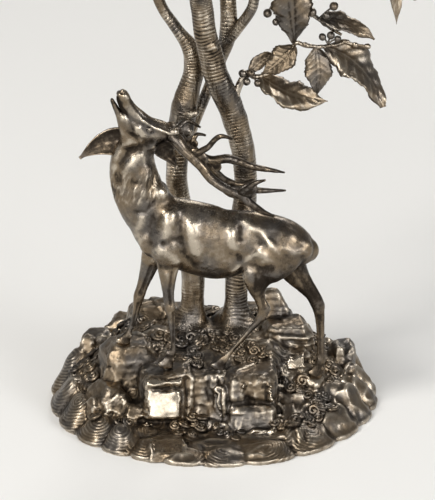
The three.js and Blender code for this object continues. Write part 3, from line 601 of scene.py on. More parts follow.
class Surface:
    """All points of an object's mesh at once, in millimetres."""

    def __init__(self, made):
        self.mesh = made.data
        count = len(self.mesh.vertices)
        points = np.empty(count * 3)
        self.mesh.vertices.foreach_get("co", points)
        self.points = points.reshape(-1, 3) / MM
        ends = np.empty(len(self.mesh.edges) * 2, int)
        self.mesh.edges.foreach_get("vertices", ends)
        self.ends = ends.reshape(-1, 2).T
        self.valence = np.bincount(ends, minlength=count)[:, None]

    def around(self, values):
        """The mean of every point's neighbours."""
        a, b = self.ends
        count = len(self.points)
        sums = [np.bincount(a, v[b], count) + np.bincount(b, v[a], count) for v in values.T]
        return np.stack(sums, axis=1) / np.maximum(self.valence, 1)

    def relax(self, rounds, share=0.6):
        for _ in range(rounds):
            self.points += share * (self.around(self.points) - self.points)
        return self

    def store(self):
        self.mesh.vertices.foreach_set("co", (self.points * MM).ravel())
        self.mesh.update()
        normals = np.empty(len(self.points) * 3)
        self.mesh.vertex_normals.foreach_get("vector", normals)
        self.normals = normals.reshape(-1, 3)
        return self

    def push(self, height):
        """Moves every point along its normal."""
        self.points += self.normals * np.asarray(height)[:, None]
        return self.store()

    def note(self, name, values):
        """Keeps one number for each point as an attribute that a material reads."""
        layer = self.mesh.attributes.new(name, "FLOAT", "POINT")
        layer.data.foreach_set("value", np.asarray(values, np.float32))

    def note_hollows(self, spans=((3, 0.7), (14, 2.4), (60, 9)), extra=0, even=0):
        """Notes 0 on crests to 1 in hollows: how deep each point lies under its smoothed surroundings.

        A span is the rounds of smoothing and the depth, in millimetres, that counts as a full hollow.
        Extra is added to the result. Where even is 1, a point counts as open metal.
        """
        smooth = self.points.copy()
        done = 0
        total = np.full(len(smooth), 0.5)
        for rounds, depth in spans:
            for _ in range(rounds - done):
                smooth = self.around(smooth)
            done = rounds
            total = total + ((smooth - self.points) * self.normals).sum(axis=1) / depth
        usual = total[:, None]
        for _ in range(done):
            usual = self.around(usual)
        hollow = np.clip(total - 0.75 * (usual[:, 0] - 0.5) + extra, 0, 1)
        self.note("hollow", hollow + (0.45 - hollow) * even)


# Stag. Its middle plane lies this far before the base's middle, and its body is given round that plane.

STAG_MIDDLE = -42
TORSO = [
    (-57.5, 0, 147.5, 4, 6), (-51.5, 0, 150.5, 10, 17), (-40, 0, 153.6, 14, 25.4), (-26, 0, 151.6, 16.2, 27),
    (-10, 0, 147, 17.2, 28), (5, 0, 143.2, 17.4, 27.6), (20, 0, 145, 15.4, 24.2), (34, 0, 146, 14.6, 21.8),
    (48, 0, 144.6, 15, 19.4), (60, 0, 140.6, 14, 16.4), (69, 0, 137.4, 10.6, 11.6), (75.5, 0, 136, 4.6, 5.4),
]
NECK = [
    (-36, 0, 156, 12, 19), (-45.5, 0, 168, 13, 20.6), (-53.2, 0, 181, 12.5, 19.4), (-57.3, 0, 195, 11.8, 18.2),
    (-58.2, -0.5, 207, 11.2, 16.8), (-55.5, -1, 217, 10.2, 14.6), (-50, -1, 224, 9, 12),
]
TAIL = [
    (66, 0, 146, 2.8, 3.2), (72.5, 0, 143.5, 3.6, 3.2), (75.5, 0, 138, 3.6, 3), (75, 0, 132.5, 2.2, 1.8),
    (73.5, 0, 129, 0.6, 0.6),
]
SHOULDER = [
    (-27, -8, 175, 3, 6), (-32, -10.5, 162, 6.5, 12), (-34, -12, 147, 7.5, 13), (-32.5, -11.8, 133, 6, 9),
    (-32, -11.5, 124, 3, 4),
]
HAUNCH = [
    (48, -8, 157, 3, 6), (50, -9.5, 150, 7.5, 15), (47.5, -11, 139, 8.4, 18.5), (40, -11.5, 126, 6.8, 13),
    (35, -11.5, 118, 3, 6),
]
LEGS = {
    "foreleg_left": [
        (-30, -49, 144, 4.5, 9.5), (-32.4, -52.5, 131, 5.6, 8.8), (-33, -54, 121, 4.8, 6.5),
        (-32.6, -54, 106, 3.6, 4.2), (-31.6, -54, 97, 3.9, 4.4), (-30.6, -54, 88, 2.7, 3),
        (-30, -54, 79, 2.3, 2.4), (-29.3, -54, 67, 2.2, 2.1), (-29.8, -54, 61.5, 2.9, 2.9),
        (-31.6, -54, 57.5, 2.7, 2.8), (-33.8, -54, 54, 3.5, 4.6), (-34.6, -54, 49.2, 4, 5.8),
    ],
    "foreleg_right": [
        (-42, -35, 144, 4.5, 9.5), (-44.6, -32.5, 131, 5.6, 8.8), (-47.2, -31, 121, 4.9, 6.9),
        (-51.8, -31, 107, 3.7, 4.6), (-55, -31, 97, 3.9, 4.3), (-57, -31, 87, 2.9, 3),
        (-59, -31, 78, 2.4, 2.5), (-62.4, -31, 69.5, 2.3, 2.3), (-63.8, -31, 66, 2.9, 2.9),
        (-65.4, -31, 63.4, 3.2, 3.8), (-66.8, -31, 58.6, 3.9, 5.4),
    ],
    "hindleg_left": [
        (45, -47, 149, 5, 12), (38.5, -50.5, 134, 7, 15), (33.4, -53, 121, 6.3, 12.4),
        (32.6, -53.5, 112, 4.8, 7.4), (34.5, -53.5, 104, 3.7, 4.3), (37.6, -53.5, 95.5, 3.4, 4.6),
        (34.8, -53.5, 87.5, 2.9, 3.6), (28, -53.5, 79.5, 2.2, 2.5), (20, -53.5, 69.5, 2, 2.1),
        (12.6, -53.5, 60.5, 2, 2.1), (9.2, -53.5, 56.6, 2.7, 2.8), (6.6, -53.5, 53.6, 3.1, 3.8),
        (4.4, -53.5, 48.2, 3.9, 5.4),
    ],
    "hindleg_right": [
        (50, -38, 147, 5, 12), (54, -36, 132, 7, 14.4), (60, -33, 118.5, 6.2, 10.8),
        (67, -33, 108.5, 5, 7.6), (73.6, -33, 100, 3.9, 5.7), (78, -33, 91.5, 3.6, 5.3),
        (79.6, -33, 83, 3, 4.1), (80.4, -33, 73, 2.6, 3.4), (81, -33, 56, 2.5, 3.3),
        (81, -33, 46, 2.9, 3.9), (79.6, -33, 41.4, 2.7, 3.6), (78.4, -33, 38, 3.4, 4.8),
        (77.4, -33, 33.2, 4, 6),
    ],
}
# The head's own frame: its origin, and the ways to the nose, to the animal's left and to the forehead
POLL = np.array([-33.0, STAG_MIDDLE - 1, 226])
NOSE_WAY = unit(np.array([-33.0, -15, 37]))
FOREHEAD_WAY = np.array([0.728, 0, 0.685])
FOREHEAD_WAY = unit(FOREHEAD_WAY - NOSE_WAY * (NOSE_WAY @ FOREHEAD_WAY))
HEAD_FRAME = np.array([NOSE_WAY, np.cross(FOREHEAD_WAY, NOSE_WAY), FOREHEAD_WAY])
SKULL = [
    (-6, 0, -4.5, 4, 5), (-1, 0, -4.6, 7.2, 10.6), (6, 0, -5.4, 9, 13.4), (13, 0, -6.4, 9.2, 12.4),
    (20, 0, -6.2, 8.4, 9.8), (28, 0, -4.5, 6.6, 7.2), (36, 0, -3.2, 5.6, 5.2), (44, 0, -1.5, 5.2, 4.6),
    (50, 0, 0.8, 5.2, 4.4), (54.4, 0, 1.3, 3.2, 3),
]
JAW = [
    (4, 0, -17.5, 4.6, 5), (12, 0, -20.5, 6.2, 7.4), (19, 0, -20.2, 6, 7), (26, 0, -17.6, 5.4, 5),
    (34, 0, -14.2, 4.6, 3.6), (42, 0, -11, 4, 2.5), (49, 0, -8.6, 3.5, 1.9), (53.8, 0, -6.8, 2.4, 1.3),
]
# Knees, hocks and fetlocks: place, half sizes, lean
JOINTS = [
    ((-33, -54, 98), (2.8, 3.3, 4.2), 0), ((-56.6, -31, 97), (2.8, 3.3, 4.2), 10),
    ((40.8, -53.5, 97.5), (1.8, 2, 4.2), -24), ((82, -33, 90), (1.9, 2.1, 5), -8),
    ((-33.2, -54, 61), (2.4, 3, 2.2), 0), ((-62.4, -31, 66), (2.4, 3, 2.2), 0),
    ((10.4, -53.5, 56.8), (2.4, 2.8, 2.2), 0), ((82, -33, 45), (2.6, 3, 2.6), 0),
]
# Masses of the head on one side: place, half sizes
HEAD_MASSES = [
    ((9, 5, -9), (10, 4.2, 8.5)), ((2, 5, 6.5), (4.5, 3.6, 4.5)), ((49.5, 3.2, 2), (3.6, 2.2, 2.4)),
    ((23, 5.6, -7.5), (6, 2.6, 3)), ((27, 2.2, -10.5), (15, 4.8, 6.4)), ((12, 3, -15), (10, 5, 6)),
]
TONGUE = [
    (29, 0, -9.5, 4.6, 4), (38, 0, -6.4, 4.2, 3.6), (45, 0, -4, 3.7, 3.2), (50, 0, -2.6, 2.8, 2.4),
    (52.5, 0, -2.2, 1.2, 1),
]
EYE = (17.8, 7.7, -3)
EYE_RADIUS = 1.7
NOSTRIL = (53.2, 2.6, 2.2)
# Lines of the face, in the head's own frame: height, half width, line
FACE_LINES = [
    (1.1, 1.3, [(27, 6, -1.5), (18, 7.5, 0.5), (11, 7.5, 3), (2, 6, 5)]),
    (-0.6, 1.1, [(41, 4.6, -6), (33, 5.6, -8.8), (26, 6.4, -11)]),
    (1.5, 2.2, [(25, 7, -8), (19, 7.6, -9)]), (-0.8, 1.6, [(9, 7, -19), (16, 7, -15.5), (24, 5.5, -14)]),
    (-0.7, 1.3, [(27, 5, 0.6), (38, 3.4, 1.6), (46, 2.6, 3)]),
    (-0.9, 1.6, [(2, 8, 1), (4, 9, -6), (3, 8, -14)]), (0.8, 1.4, [(22, 7, -12), (30, 6, -8)]),
]
# Ears: root, bend and tip, the way the shell opens, and its width
EARS = {
    "ear_left": ((-38, -50, 223), (-35, -65, 225), (-25.5, -76.5, 214.5), (0.5, -0.4, -0.75), 14.5),
    "ear_right": ((-56, -37, 219), (-78, -34, 224), (-97, -40, 208.5), (-0.1, -0.93, 0.35), 21),
}
# Masses of the body on one side: place, half sizes, lean
BODY_MASSES = [
    ((-46, 7, 147), (9, 7, 13), -12), ((-33, 13.5, 158), (7.5, 5.2, 17), 12), ((-34, 14, 141), (10, 5.4, 7.5), 0),
    ((-13, 12.4, 153), (9, 4.6, 14), -14), ((15, 12.6, 151), (5.5, 3.6, 9), -8), ((54, 11.5, 147), (12, 5, 9), 20),
    ((42, 14.4, 137), (8, 5, 13), -18), ((66, 8, 142), (8, 5.4, 9), 0), ((-40, 4.5, 184), (8, 5, 6.5), 0),
    ((-50, 10, 192), (5, 3.6, 16), 12), ((-47, 9, 168), (7, 4.6, 13), 30),
]
# Strokes seen from the side, on both flanks: height (grooves are negative), half width, line of x and z
STROKES = [
    (-1.4, 3.2, [(-23, 164), (-22, 150), (-19, 139), (-14, 131)]), (-1.2, 2.2, [(-36, 150), (-30, 153), (-24, 152)]),
    (1.0, 3.0, [(-39, 144), (-31, 140), (-26, 135)]), (-1.1, 3.0, [(-44, 169), (-44, 160), (-45, 150)]),
    (0.9, 2.6, [(-35, 171), (-34, 164), (-34, 154)]), (0.9, 2.2, [(-52, 168), (-55, 157), (-55, 148)]),
    (-0.9, 2.2, [(-48, 136), (-40, 131.5), (-30, 129.5)]), (1.5, 4.8, [(-18, 162), (-15, 153), (-12, 145)]),
    (-1.2, 2.4, [(20, 159), (20, 152)]), (-1.0, 2.2, [(33, 155), (35, 149)]),
    (-1.4, 2.8, [(14, 142), (18, 139), (21, 134)]), (1.3, 2.8, [(12.5, 159), (13, 152), (15, 144)]),
    (1.0, 2.2, [(24, 163), (36, 156), (43, 148), (48, 143)]), (0.9, 1.6, [(51, 147), (58, 142), (67, 142)]),
    (1.3, 1.9, [(15, 126), (20, 131), (27, 137), (33, 142)]), (-1.4, 2.8, [(29, 131), (36, 129), (43, 131)]),
    (-0.8, 2.2, [(31, 124), (33, 114)]), (0.8, 3.2, [(38, 140), (44, 134), (46, 126)]),
    (-0.9, 1.1, [(-30, 126), (-32, 112), (-31, 101)]), (-0.9, 1.1, [(40, 118), (36, 108), (38, 98)]),
    (-0.9, 1.1, [(-46, 122), (-51, 108), (-54, 100)]), (-0.9, 1.2, [(60, 124), (70, 106), (76, 96)]),
    (-0.6, 0.8, [(-29.2, 93), (-29, 70)]), (-0.6, 0.8, [(-56, 92), (-60, 74)]), (-0.6, 0.8, [(36, 86), (16, 63)]),
    (-0.7, 0.9, [(79, 82), (80, 50)]),
    (-2.0, 2.6, [(-69, 196), (-67, 208), (-60, 217), (-51, 222), (-44, 225)]),
    (0.9, 2.0, [(-71, 205), (-70, 215), (-66, 222), (-60, 226)]), (1.5, 4.6, [(-65, 203), (-58, 209)]),
    (-0.9, 2.0, [(-46, 220), (-45, 208), (-44, 197), (-48, 190)]), (1.6, 3.2, [(-39, 186), (-37, 184.5)]),
    (-0.9, 2.4, [(-60, 196), (-51, 193), (-44, 195)]), (-0.7, 2.0, [(-57, 172), (-49, 173), (-43, 179)]),
]


def from_head(points):
    """Points of the head's own frame, placed in the scene."""
    return np.asarray(points, float) @ HEAD_FRAME + POLL


def in_head(shape):
    points, faces = shape
    return from_head(points), faces


def both_sides(place):
    """A place on the animal's left and its mirror image."""
    x, y, z = place
    return ((x, y, z), (x, -y, z))


class CENTERPIECE_OT_stag(bpy.types.Operator):
    """Model the bellowing stag in one skin, with its muscles, coat, ears, eyes and tongue"""

    bl_idname = "centerpiece.stag"
    bl_label = "Stag"

    # The strokes are softened: lower and broader than the table says
    STROKE_HEIGHT = 0.9
    STROKE_WIDTH = 1.35
    HOOF_SPLIT = 1.9
    # Places in the head's own frame, how far the face reaches from its middle, and the thigh seen from the side; one
    # place is the middle of the painted shadow under the jaw
    FACE_MIDDLE = (25, 0, -5)
    FACE_REACH = 46
    EAR_FOOT = (2, 8, -3)
    JAW_SHADOW_MIDDLE = (56, 0, -17)
    THIGH = (39, 121)

    def execute(self, context):
        coat = silver("coat_silver", coat_relief, 0.22 * MM, gloss=0.26)
        self.make_skin(coat)
        self.make_ears(coat)
        self.make_mouth()
        self.make_eyes()
        return {"FINISHED"}

    def make_skin(self, coat):
        lofts = [TORSO, NECK, SHOULDER, HAUNCH, mirrored(SHOULDER), mirrored(HAUNCH), TAIL]
        shapes = [tube(shifted(loft, STAG_MIDDLE)) for loft in lofts]
        for stations in LEGS.values():
            shapes.append(tube(stations, sides=18))
            x, y, z = stations[-1][:3]
            for split in (-self.HOOF_SPLIT, self.HOOF_SPLIT):
                shapes.append(mass((x - 1.2, y + split, z + 2.2), (5.6, self.HOOF_SPLIT, 3.2), 14))
                shapes.append(mass((x + 5.2, y + split, z + 6.5), (1.5, 1.1, 2.2), -20))
        shapes += [mass(*joint) for joint in JOINTS]
        for (x, y, z), radii, lean in BODY_MASSES:
            shapes += [mass((x, STAG_MIDDLE + side, z), radii, lean) for side in (y, -y)]
        shapes += [in_head(tube(stations, sides=22)) for stations in (SKULL, JAW)]
        for place, radii in HEAD_MASSES:
            shapes += [in_head(mass(middle, radii)) for middle in both_sides(place)]
        made = fused("stag_skin", shapes)
        surface = Surface(made)
        x, y, z = surface.points.T
        trunk = step(124, 136, z) * (1 - step(206, 214, z)) * step(78, 70, x)
        forward = (surface.points - POLL) @ NOSE_WAY
        cheek = step(30, 20, forward) * step(216, 224, z) * step(-24, -34, x)
        muzzle = step(28, 34, forward) * step(216, 224, z)
        surface.relax(30, (0.1 - 0.07 * muzzle + 0.5 * np.maximum(trunk, 0.6 * cheek))[:, None]).store()
        modelled = self.muscles(surface)
        surface.push(modelled)
        surface.relax(5, (0.5 * trunk)[:, None]).store()
        surface.push(self.head_relief(surface))
        surface.relax(1).store()
        surface.push(self.hair(surface))
        # The coat's hollow attribute also takes darker patches, painted shade and painted light from spots; raised
        # strokes wear bright and grooves tarnish
        surface.note_hollows(((5, 1.1), (22, 2.8), (70, 9)), extra=0.8 * self.spots(surface) - 0.2 * modelled)
        finished(made, coat, STAND, "stag_body", "stag_head", "tail", *LEGS)

    def muscles(self, surface):
        """Strokes on both flanks, as ridges and grooves."""
        facing = step(0.25, 0.75, np.abs(surface.normals[:, 1]))
        return self.STROKE_HEIGHT * strokes(surface.points[:, [0, 2]], STROKES, self.STROKE_WIDTH) * facing

    def head_relief(self, surface):
        """Eye sockets, nostrils, the line of the lips and the lines of the cheeks."""
        local = (surface.points - POLL) @ HEAD_FRAME.T
        local[:, 1] = np.abs(local[:, 1])
        sockets = 0.9 * near(distance(local, EYE), 3.2) + 1.8 * near(distance(local, NOSTRIL), 1.4)
        height = strokes(local, FACE_LINES) - sockets
        return np.where(distance(surface.points, from_head(self.FACE_MIDDLE)) < self.FACE_REACH, height, 0)

    def hair(self, surface):
        """Strands down the neck and throat, a fine coat elsewhere and dimples on the back."""
        points = surface.points
        x, z = points[:, 0], points[:, 2]
        mane = step(174, 182, z) * step(206, 196, z) * step(-34, -44, x)
        down = points @ np.array([[0.95, 0, 0.1], [0, 1, 0], [-0.31, 0, 0.22]])
        strands = Noise(11)(down, 1.5) + 0.6 * Noise(12)(down, 0.9)
        coat = Noise(13)(points, 2.6) * 0.12
        back = step(160, 172, z) * step(-28, -10, x) * step(204, 196, z)
        dimples = -0.5 * step(0.35, 0.75, Noise(14)(points, 7)) * back
        return mane * strands * 0.4 + coat * (z > 60) + dimples

    def spots(self, surface):
        """How much darker or lighter the coat is: darker patches on the back and neck, at the ear roots, on the thigh
        and legs; painted shadow under the jaw, painted shade on the neck's front edge, the rump and the down-facing
        belly, and painted light on the up-facing back.
        """
        points = surface.points
        x, _, z = points.T
        faces_up = surface.normals[:, 2]
        neck = step(172, 182, z) * step(-34, -42, x)
        patches = step(0.2, 0.7, Noise(15)(points, 8)) * step(150, 166, z) * step(205, 190, z)
        ears = [distance(points, from_head(place)) for place in both_sides(self.EAR_FOOT)]
        patches += 2.4 * near(np.min(ears, axis=0), 6) * (z > 206)
        # Darker patches over the neck, and painted shade on the neck's front edge
        patches += neck * (1.9 * Noise(19)(points, 6) + 0.9 * step(-50, -60, x))
        # Painted shadow under the jaw
        patches += 5.5 * near(distance(points, from_head(self.JAW_SHADOW_MIDDLE)) ** 2, 15**2)
        patches += 1.5 * near(x - self.THIGH[0], 9) * near(z - self.THIGH[1], 11)
        legs = step(134, 116, z) * (0.34 + 0.4 * Noise(16)(points * (1, 1, 0.6), 6))
        # Painted light on the up-facing top of the back
        crest = step(0.4, 0.9, faces_up) * step(20, 0, x)
        # Painted shade on the down-facing belly and on the rump
        return 0.16 * patches + 0.2 * step(0, -0.8, faces_up) + legs - 0.1 * crest + 0.34 * step(30, 52, x)

    def make_ears(self, coat):
        for name, shape in EARS.items():
            made = new_object(name + "_shell", *cupped_leaf(*shape))
            surface = Surface(made).store()
            crinkle = 0.16 * Noise(17)(surface.points, 4) + 0.12 * Noise(18)(surface.points, 1.6)
            surface.push(crinkle)
            surface.note_hollows(((3, 0.9), (14, 3)), extra=0.5 - 0.8 * crinkle)
            finished(made, coat, STAND, name)

    def make_mouth(self):
        """The tongue between the open jaws, dark with tarnish."""
        metal = silver("tongue_silver", coat_relief, 0.1 * MM, dark=0.75, gloss=0.45)
        made = new_object("stag_tongue", *in_head(tube(TONGUE)))
        Surface(made).store().note_hollows(((6, 1.2),), extra=0.1)
        finished(made, metal, STAND)

    def make_eyes(self):
        """The eyes, each between two lids."""
        metal = silver("eye_silver", coat_relief, 0.05 * MM, gloss=0.12)
        shapes = []
        for x, y, z in both_sides(EYE):
            shapes.append(mass((x, y, z), (EYE_RADIUS + 0.3, EYE_RADIUS * 0.8, EYE_RADIUS)))
            for rise in (1.2, -1.2):
                lid = [
                    (x + 3.2, y, z, 0.3), (x + 1.4, y * 1.05, z + rise, 0.6), (x - 1.4, y * 1.05, z + rise, 0.6),
                    (x - 3.4, y, z + 0.5, 0.3),
                ]
                shapes.append(tube(lid, sides=8, steps=4))
        made = new_object("stag_eyes", *in_head(merged(shapes)))
        Surface(made).store().note_hollows(((6, 1.2),), extra=0.1)
        finished(made, metal, STAND)


# Antlers: the beam and its tines, each in stations of place and half size

ANTLERS = {
    "antler_left": [
        [
            (-31, -47, 229, 2.4), (-26, -49, 225.5, 3), (-21, -51, 219.5, 2.6), (-15, -53, 214, 2.3),
            (-8, -54, 207, 2.2), (-1, -55, 198, 2.1), (10, -57, 191, 2.1), (20, -58, 187, 2.1),
            (27, -59, 181, 1.8), (36, -61, 175, 1.3), (45, -62, 171.5, 0.5),
        ],
        [
            (-15, -53, 214, 1.5), (-8, -54, 219, 1.5), (-3, -56, 223, 1.3), (2, -57, 229, 1.2),
            (7, -59, 232, 1), (15, -60, 230, 0.4),
        ],
        [(12, -57, 190, 1.7), (27, -57, 190, 1.5), (40, -55, 189, 1.1), (53, -52, 188, 0.4)],
        [(18, -58, 188, 1.7), (25, -62, 193, 1.4), (31, -64, 198, 1.1), (38, -66, 201, 0.4)],
    ],
    "antler_right": [
        [
            (-31, -40, 229, 2.4), (-26, -40.5, 225, 3), (-21, -40, 220, 2.5), (-16, -38, 216, 2.2),
            (-9, -36, 209, 2.1), (-1, -34, 205, 2), (10, -32, 205.5, 2), (18, -30, 203, 1.9),
            (29, -28, 198, 1.5), (41, -26, 195, 1.1), (53, -24, 192, 0.4),
        ],
        [(-27, -40, 226, 1.6), (-24, -37, 232, 1.4), (-18, -33, 235, 1.1), (-9, -30, 229, 0.4)],
        [(-17, -39, 217, 1.4), (-14, -39, 223, 1.2), (-11, -37, 226, 0.9), (-5, -36, 225, 0.4)],
        [(-6, -35, 207, 1.7), (2, -33, 196, 1.6), (10, -30, 188, 1.5), (20, -27, 184, 1.2), (31, -24, 187, 0.4)],
    ],
}

# Flat webs between a beam and its tines: place, half sizes, lean
WEBS = {
    "antler_left": [
        ((-10, -53, 214), (8, 2, 5.5), 45), ((19, -58, 188.5), (12, 2.2, 5), 8), ((25, -60.5, 191), (8, 1.8, 5), -30),
    ],
    "antler_right": [
        ((-15, -39, 219), (4.4, 1.5, 4), -20), ((-1, -34.5, 202), (8, 2, 5.5), 30), ((-25, -39, 229), (4, 1.6, 4), 0),
    ],
}


class CENTERPIECE_OT_antlers(bpy.types.Operator):
    """Model both antlers, with their burrs, pearls and furrows"""

    bl_idname = "centerpiece.antlers"
    bl_label = "Antlers"

    def execute(self, context):
        horn = silver("antler_silver", furrow_relief, 0.2 * MM, dark=0.42, gloss=0.24)
        for name, tines in ANTLERS.items():
            thick = [[(*place, 1.8 * size, 1.65 * size) for *place, size in tine] for tine in tines]
            shapes = [tube(tine, sides=16, steps=8) for tine in thick]
            shapes += [mass(*web) for web in WEBS[name]]
            burr = tines[0][1][:3]
            shapes.append(mass(burr, (2.2, 4.3, 4.1), -38))
            made = new_object(name + "_beam", *merged(shapes))
            surface = Surface(made).store()
            pearls = step(0.1, 0.6, Noise(21)(surface.points, 1.9))
            furrows = Noise(22)(surface.points * (0.35, 1.6, 1), 1.6)
            surface.push(0.12 * pearls + 0.12 * furrows)
            surface.note_hollows(((2, 0.5), (8, 2)), extra=0.02)
            finished(made, horn, STAND, name)
        return {"FINISHED"}


# Base, with its profiles from the middle to the rim: share of the radius, height

BASE_RADIUS = 127
SIDE_PROFILE = [(0, 58), (0.34, 55), (0.55, 45), (0.72, 32), (0.86, 18), (0.96, 7), (1, 3.2)]
FRONT_PROFILE = [(0, 58), (0.34, 47), (0.46, 34), (0.56, 14), (0.68, 7.5), (0.88, 5), (1, 3.2)]
RIM_LOBES = 24
# Swells of the mound: x, y, radius, height
SWELLS = [
    (-104, 26, 18, 8), (-106, -31, 18, 7), (-69, -89, 18, 5), (58, -88, 18, 5), (98, -40, 18, 8),
    (106, 34, 17, 7), (-92, 64, 17, 6), (-52, 98, 18, 5), (76, 84, 17, 6), (0, -32, 22, 4),
    (-62, 26, 24, 7), (56, 52, 24, 7), (-10, 96, 22, 7), (-50, -6, 26, 5), (-84, -12, 16, 7),
]
# Boulders: middle, sizes of foot and top, height, bevel, lean, turn, lowest height
BOULDERS = [
    ((-35, -47), (42, 60), (35, 46), 48.2, 4, (0, 4), 0, 1), ((-5, -42), (38, 50), (28, 38), 46, 3, (0, 2), 0, 1),
    ((27, -46), (44, 58), (35, 44), 47.2, 4, (0, 5), 4, 1), ((30, -70), (38, 24), (26, 10), 25, 4, (0, 3), 4, 1),
    ((70, -21), (32, 54), (26, 38), 33.2, 3, (0, 2), -4, 1), ((60, -9), (26, 36), (18, 24), 47, 3, (0, 0), 8, 1),
    ((51, -30), (22, 44), (12, 30), 31, 4, (0, 0), 0, 1), ((-63, -24), (48, 48), (26, 28), 58.6, 9, (0, 0), 12, 16),
    ((-79, -48), (38, 40), (10, 22), 34, 9, (2, 0), 24, 1), ((-58, -62), (34, 36), (14, 16), 24, 6, (0, 0), 30, 1),
    ((-88, 36), (30, 36), (15, 18), 40, 6, (0, 0), 18, 1), ((-68, 66), (38, 34), (16, 14), 42, 7, (0, 0), -20, 1),
    ((-47, 40), (42, 34), (26, 18), 64, 7, (0, 0), 8, 30), ((96, 20), (32, 46), (10, 26), 37, 6, (3, 0), -10, 1),
    ((56, 8), (44, 44), (26, 24), 61, 7, (0, 0), 10, 24), ((-26, 78), (46, 32), (26, 14), 46, 7, (0, 0), -8, 1),
    ((34, 68), (48, 34), (28, 16), 50, 7, (0, 0), 10, 1), ((54, 25), (42, 18), (9, 5), 80, 3, (-9, 0), 0, 30),
]
# Small stones and slabs that lie against the boulders
STONES = [
    ((-34, -101), (34, 32), (25, 20), 10.5, 2, (0, 0), 3, 1), ((-86, -60), (16, 14), (8, 6), 27, 4, (1, 2), 30, 4),
    ((-69, -64), (14, 14), (7, 6), 31, 4, (0, 3), -20, 6), ((64, -50), (16, 14), (9, 5), 25, 2, (0, 3), 10, 2),
    ((80, -47), (12, 16), (6, 8), 21, 2, (0, 3), -20, 2), ((103, -1), (14, 12), (7, 6), 30, 3, (0, 0), 20, 10),
    ((92, 8), (9, 22), (3, 14), 42, 2, (4, 0), 14, 10), ((101, 12), (8, 22), (3, 13), 39, 2, (5, 0), 6, 10),
    ((-97, 24), (12, 16), (7, 8), 41, 3, (0, 2), -12, 10), ((8, -66), (14, 12), (6, 5), 38, 3, (0, 2), 40, 8),
]
# Faces cut flat and polished: middle, the way they face, half width, half height
PANELS = [
    ((-35.3, -76.3, 28.5), (0.03, -0.965, 0.26), 12.6, 10.6), ((-36, -72.2, 45.2), (0, -0.78, 0.62), 13, 2.6),
    ((32, -86.3, 17.2), (0.02, -0.95, 0.3), 12.5, 7.2), ((27, -76, 39.5), (-0.12, -0.93, 0.34), 6, 4.5),
    ((40.5, -75.2, 34), (0.3, -0.92, 0.22), 4.5, 8), ((62, -27.4, 41), (0.22, -0.96, 0.16), 7.4, 5),
    ((-33, -107, 9.4), (0.02, -0.33, 0.94), 12, 8),
    ((26, 84, 36), (0.1, 0.94, 0.33), 12, 7), ((-30, 94, 30), (-0.1, 0.95, 0.3), 10, 7),
    ((-84, 66, 30), (-0.75, 0.5, 0.42), 9, 7), ((84, -22, 22), (0.93, 0.05, 0.36), 8, 6),
]
# Notches and ribs of the ledges, seen from the front: height (notches are negative), half width, line of x and z
LEDGE_LINES = [
    (-2.2, 4.4, [(-9, 15), (-5, 9)]), (-3.5, 2.2, [(-19, 44), (-17.5, 30), (-19, 14)]),
    (-3, 1.8, [(5.5, 44), (4, 30), (7, 12)]), (1.2, 1.1, [(-55, 22.5), (-38, 21.5), (-24, 21.8)]),
    (1.1, 1.0, [(-54, 18.6), (-38, 18), (-24, 18.4)]), (-2.4, 1.6, [(-54, 14.6), (-38, 13.6), (-22, 14)]),
    (-3.2, 2.2, [(26, 31), (29, 27)]), (-2.2, 1.5, [(12, 27), (30, 28), (48, 26)]),
    (-4, 2.6, [(50, 44), (51, 26), (50, 10)]), (1.4, 1.2, [(77, 30), (76.5, 12)]),
    (-2, 1.4, [(69, 34), (70, 22), (68, 10)]), (-1.6, 1.3, [(61, 33), (60, 20), (62, 9)]),
    (-1.5, 1.2, [(-3, 43), (-5, 34), (-3, 26)]),
]
# Places where the plate is painted darker: a dark boulder and a matt slope, painted shade in a cave and in a crevice
# at the front, and a faint darkening under the stag's belly: middle, radius, how dark
SHADES = [
    ((-64, -34, 40), 22, 0.16), ((-54, -64, 20), 15, 0.25), ((-7, -80, 12), 13, 0.25), ((51, -58, 25), 12, 0.25),
    ((-4, -30, 50), 22, 0.05),
]
TREE_STUDS = ((-15.3, 12), (16.6, 8))
HOOVES = tuple(stations[-1][:3] for stations in LEGS.values())
# Height of the faces that the tree's washers press on, and how far under a hoof its nut presses
TREE_SEAT = 43
HOOF_SEAT_DEPTH = 14
# Fans of moss: one on each lobe of the rim and one behind each notch, as rows of shift in lobes and inset,
# and others over the mound like the seeds of a sunflower
RIM_FANS = ((0.5, 13), (1, 24))
FAN_COUNT = 120
FAN_REACH = 95
FAN_JITTER = 2.5
GOLDEN_ANGLE = 2.39996


def lobe_phase(turn):
    """An angle that passes once through pi for each lobe of the rim, which aren't all of one width."""
    return RIM_LOBES / 2 * turn + 0.9 * np.sin(3 * turn)


def rim_radius(turn):
    """The rim's outline: lobes, each parted by a small notch."""
    lobe = np.sqrt(np.abs(np.sin(lobe_phase(turn))))
    half = np.sqrt(np.abs(np.sin(2 * lobe_phase(turn))))
    return BASE_RADIUS - 0.8 - 4.6 * (1 - lobe) - 0.9 * (1 - half) + 0.8 * np.sin(5 * turn + 1)


def read_profile(profile, reach):
    """The height of a profile at each share of the radius."""
    height = np.full(reach.shape, float(profile[-1][1]))
    for (r0, z0), (r1, z1) in reversed(list(zip(profile, profile[1:]))):
        height = np.where(reach <= r1, z0 + (z1 - z0) * step(r0, r1, reach), height)
    return height


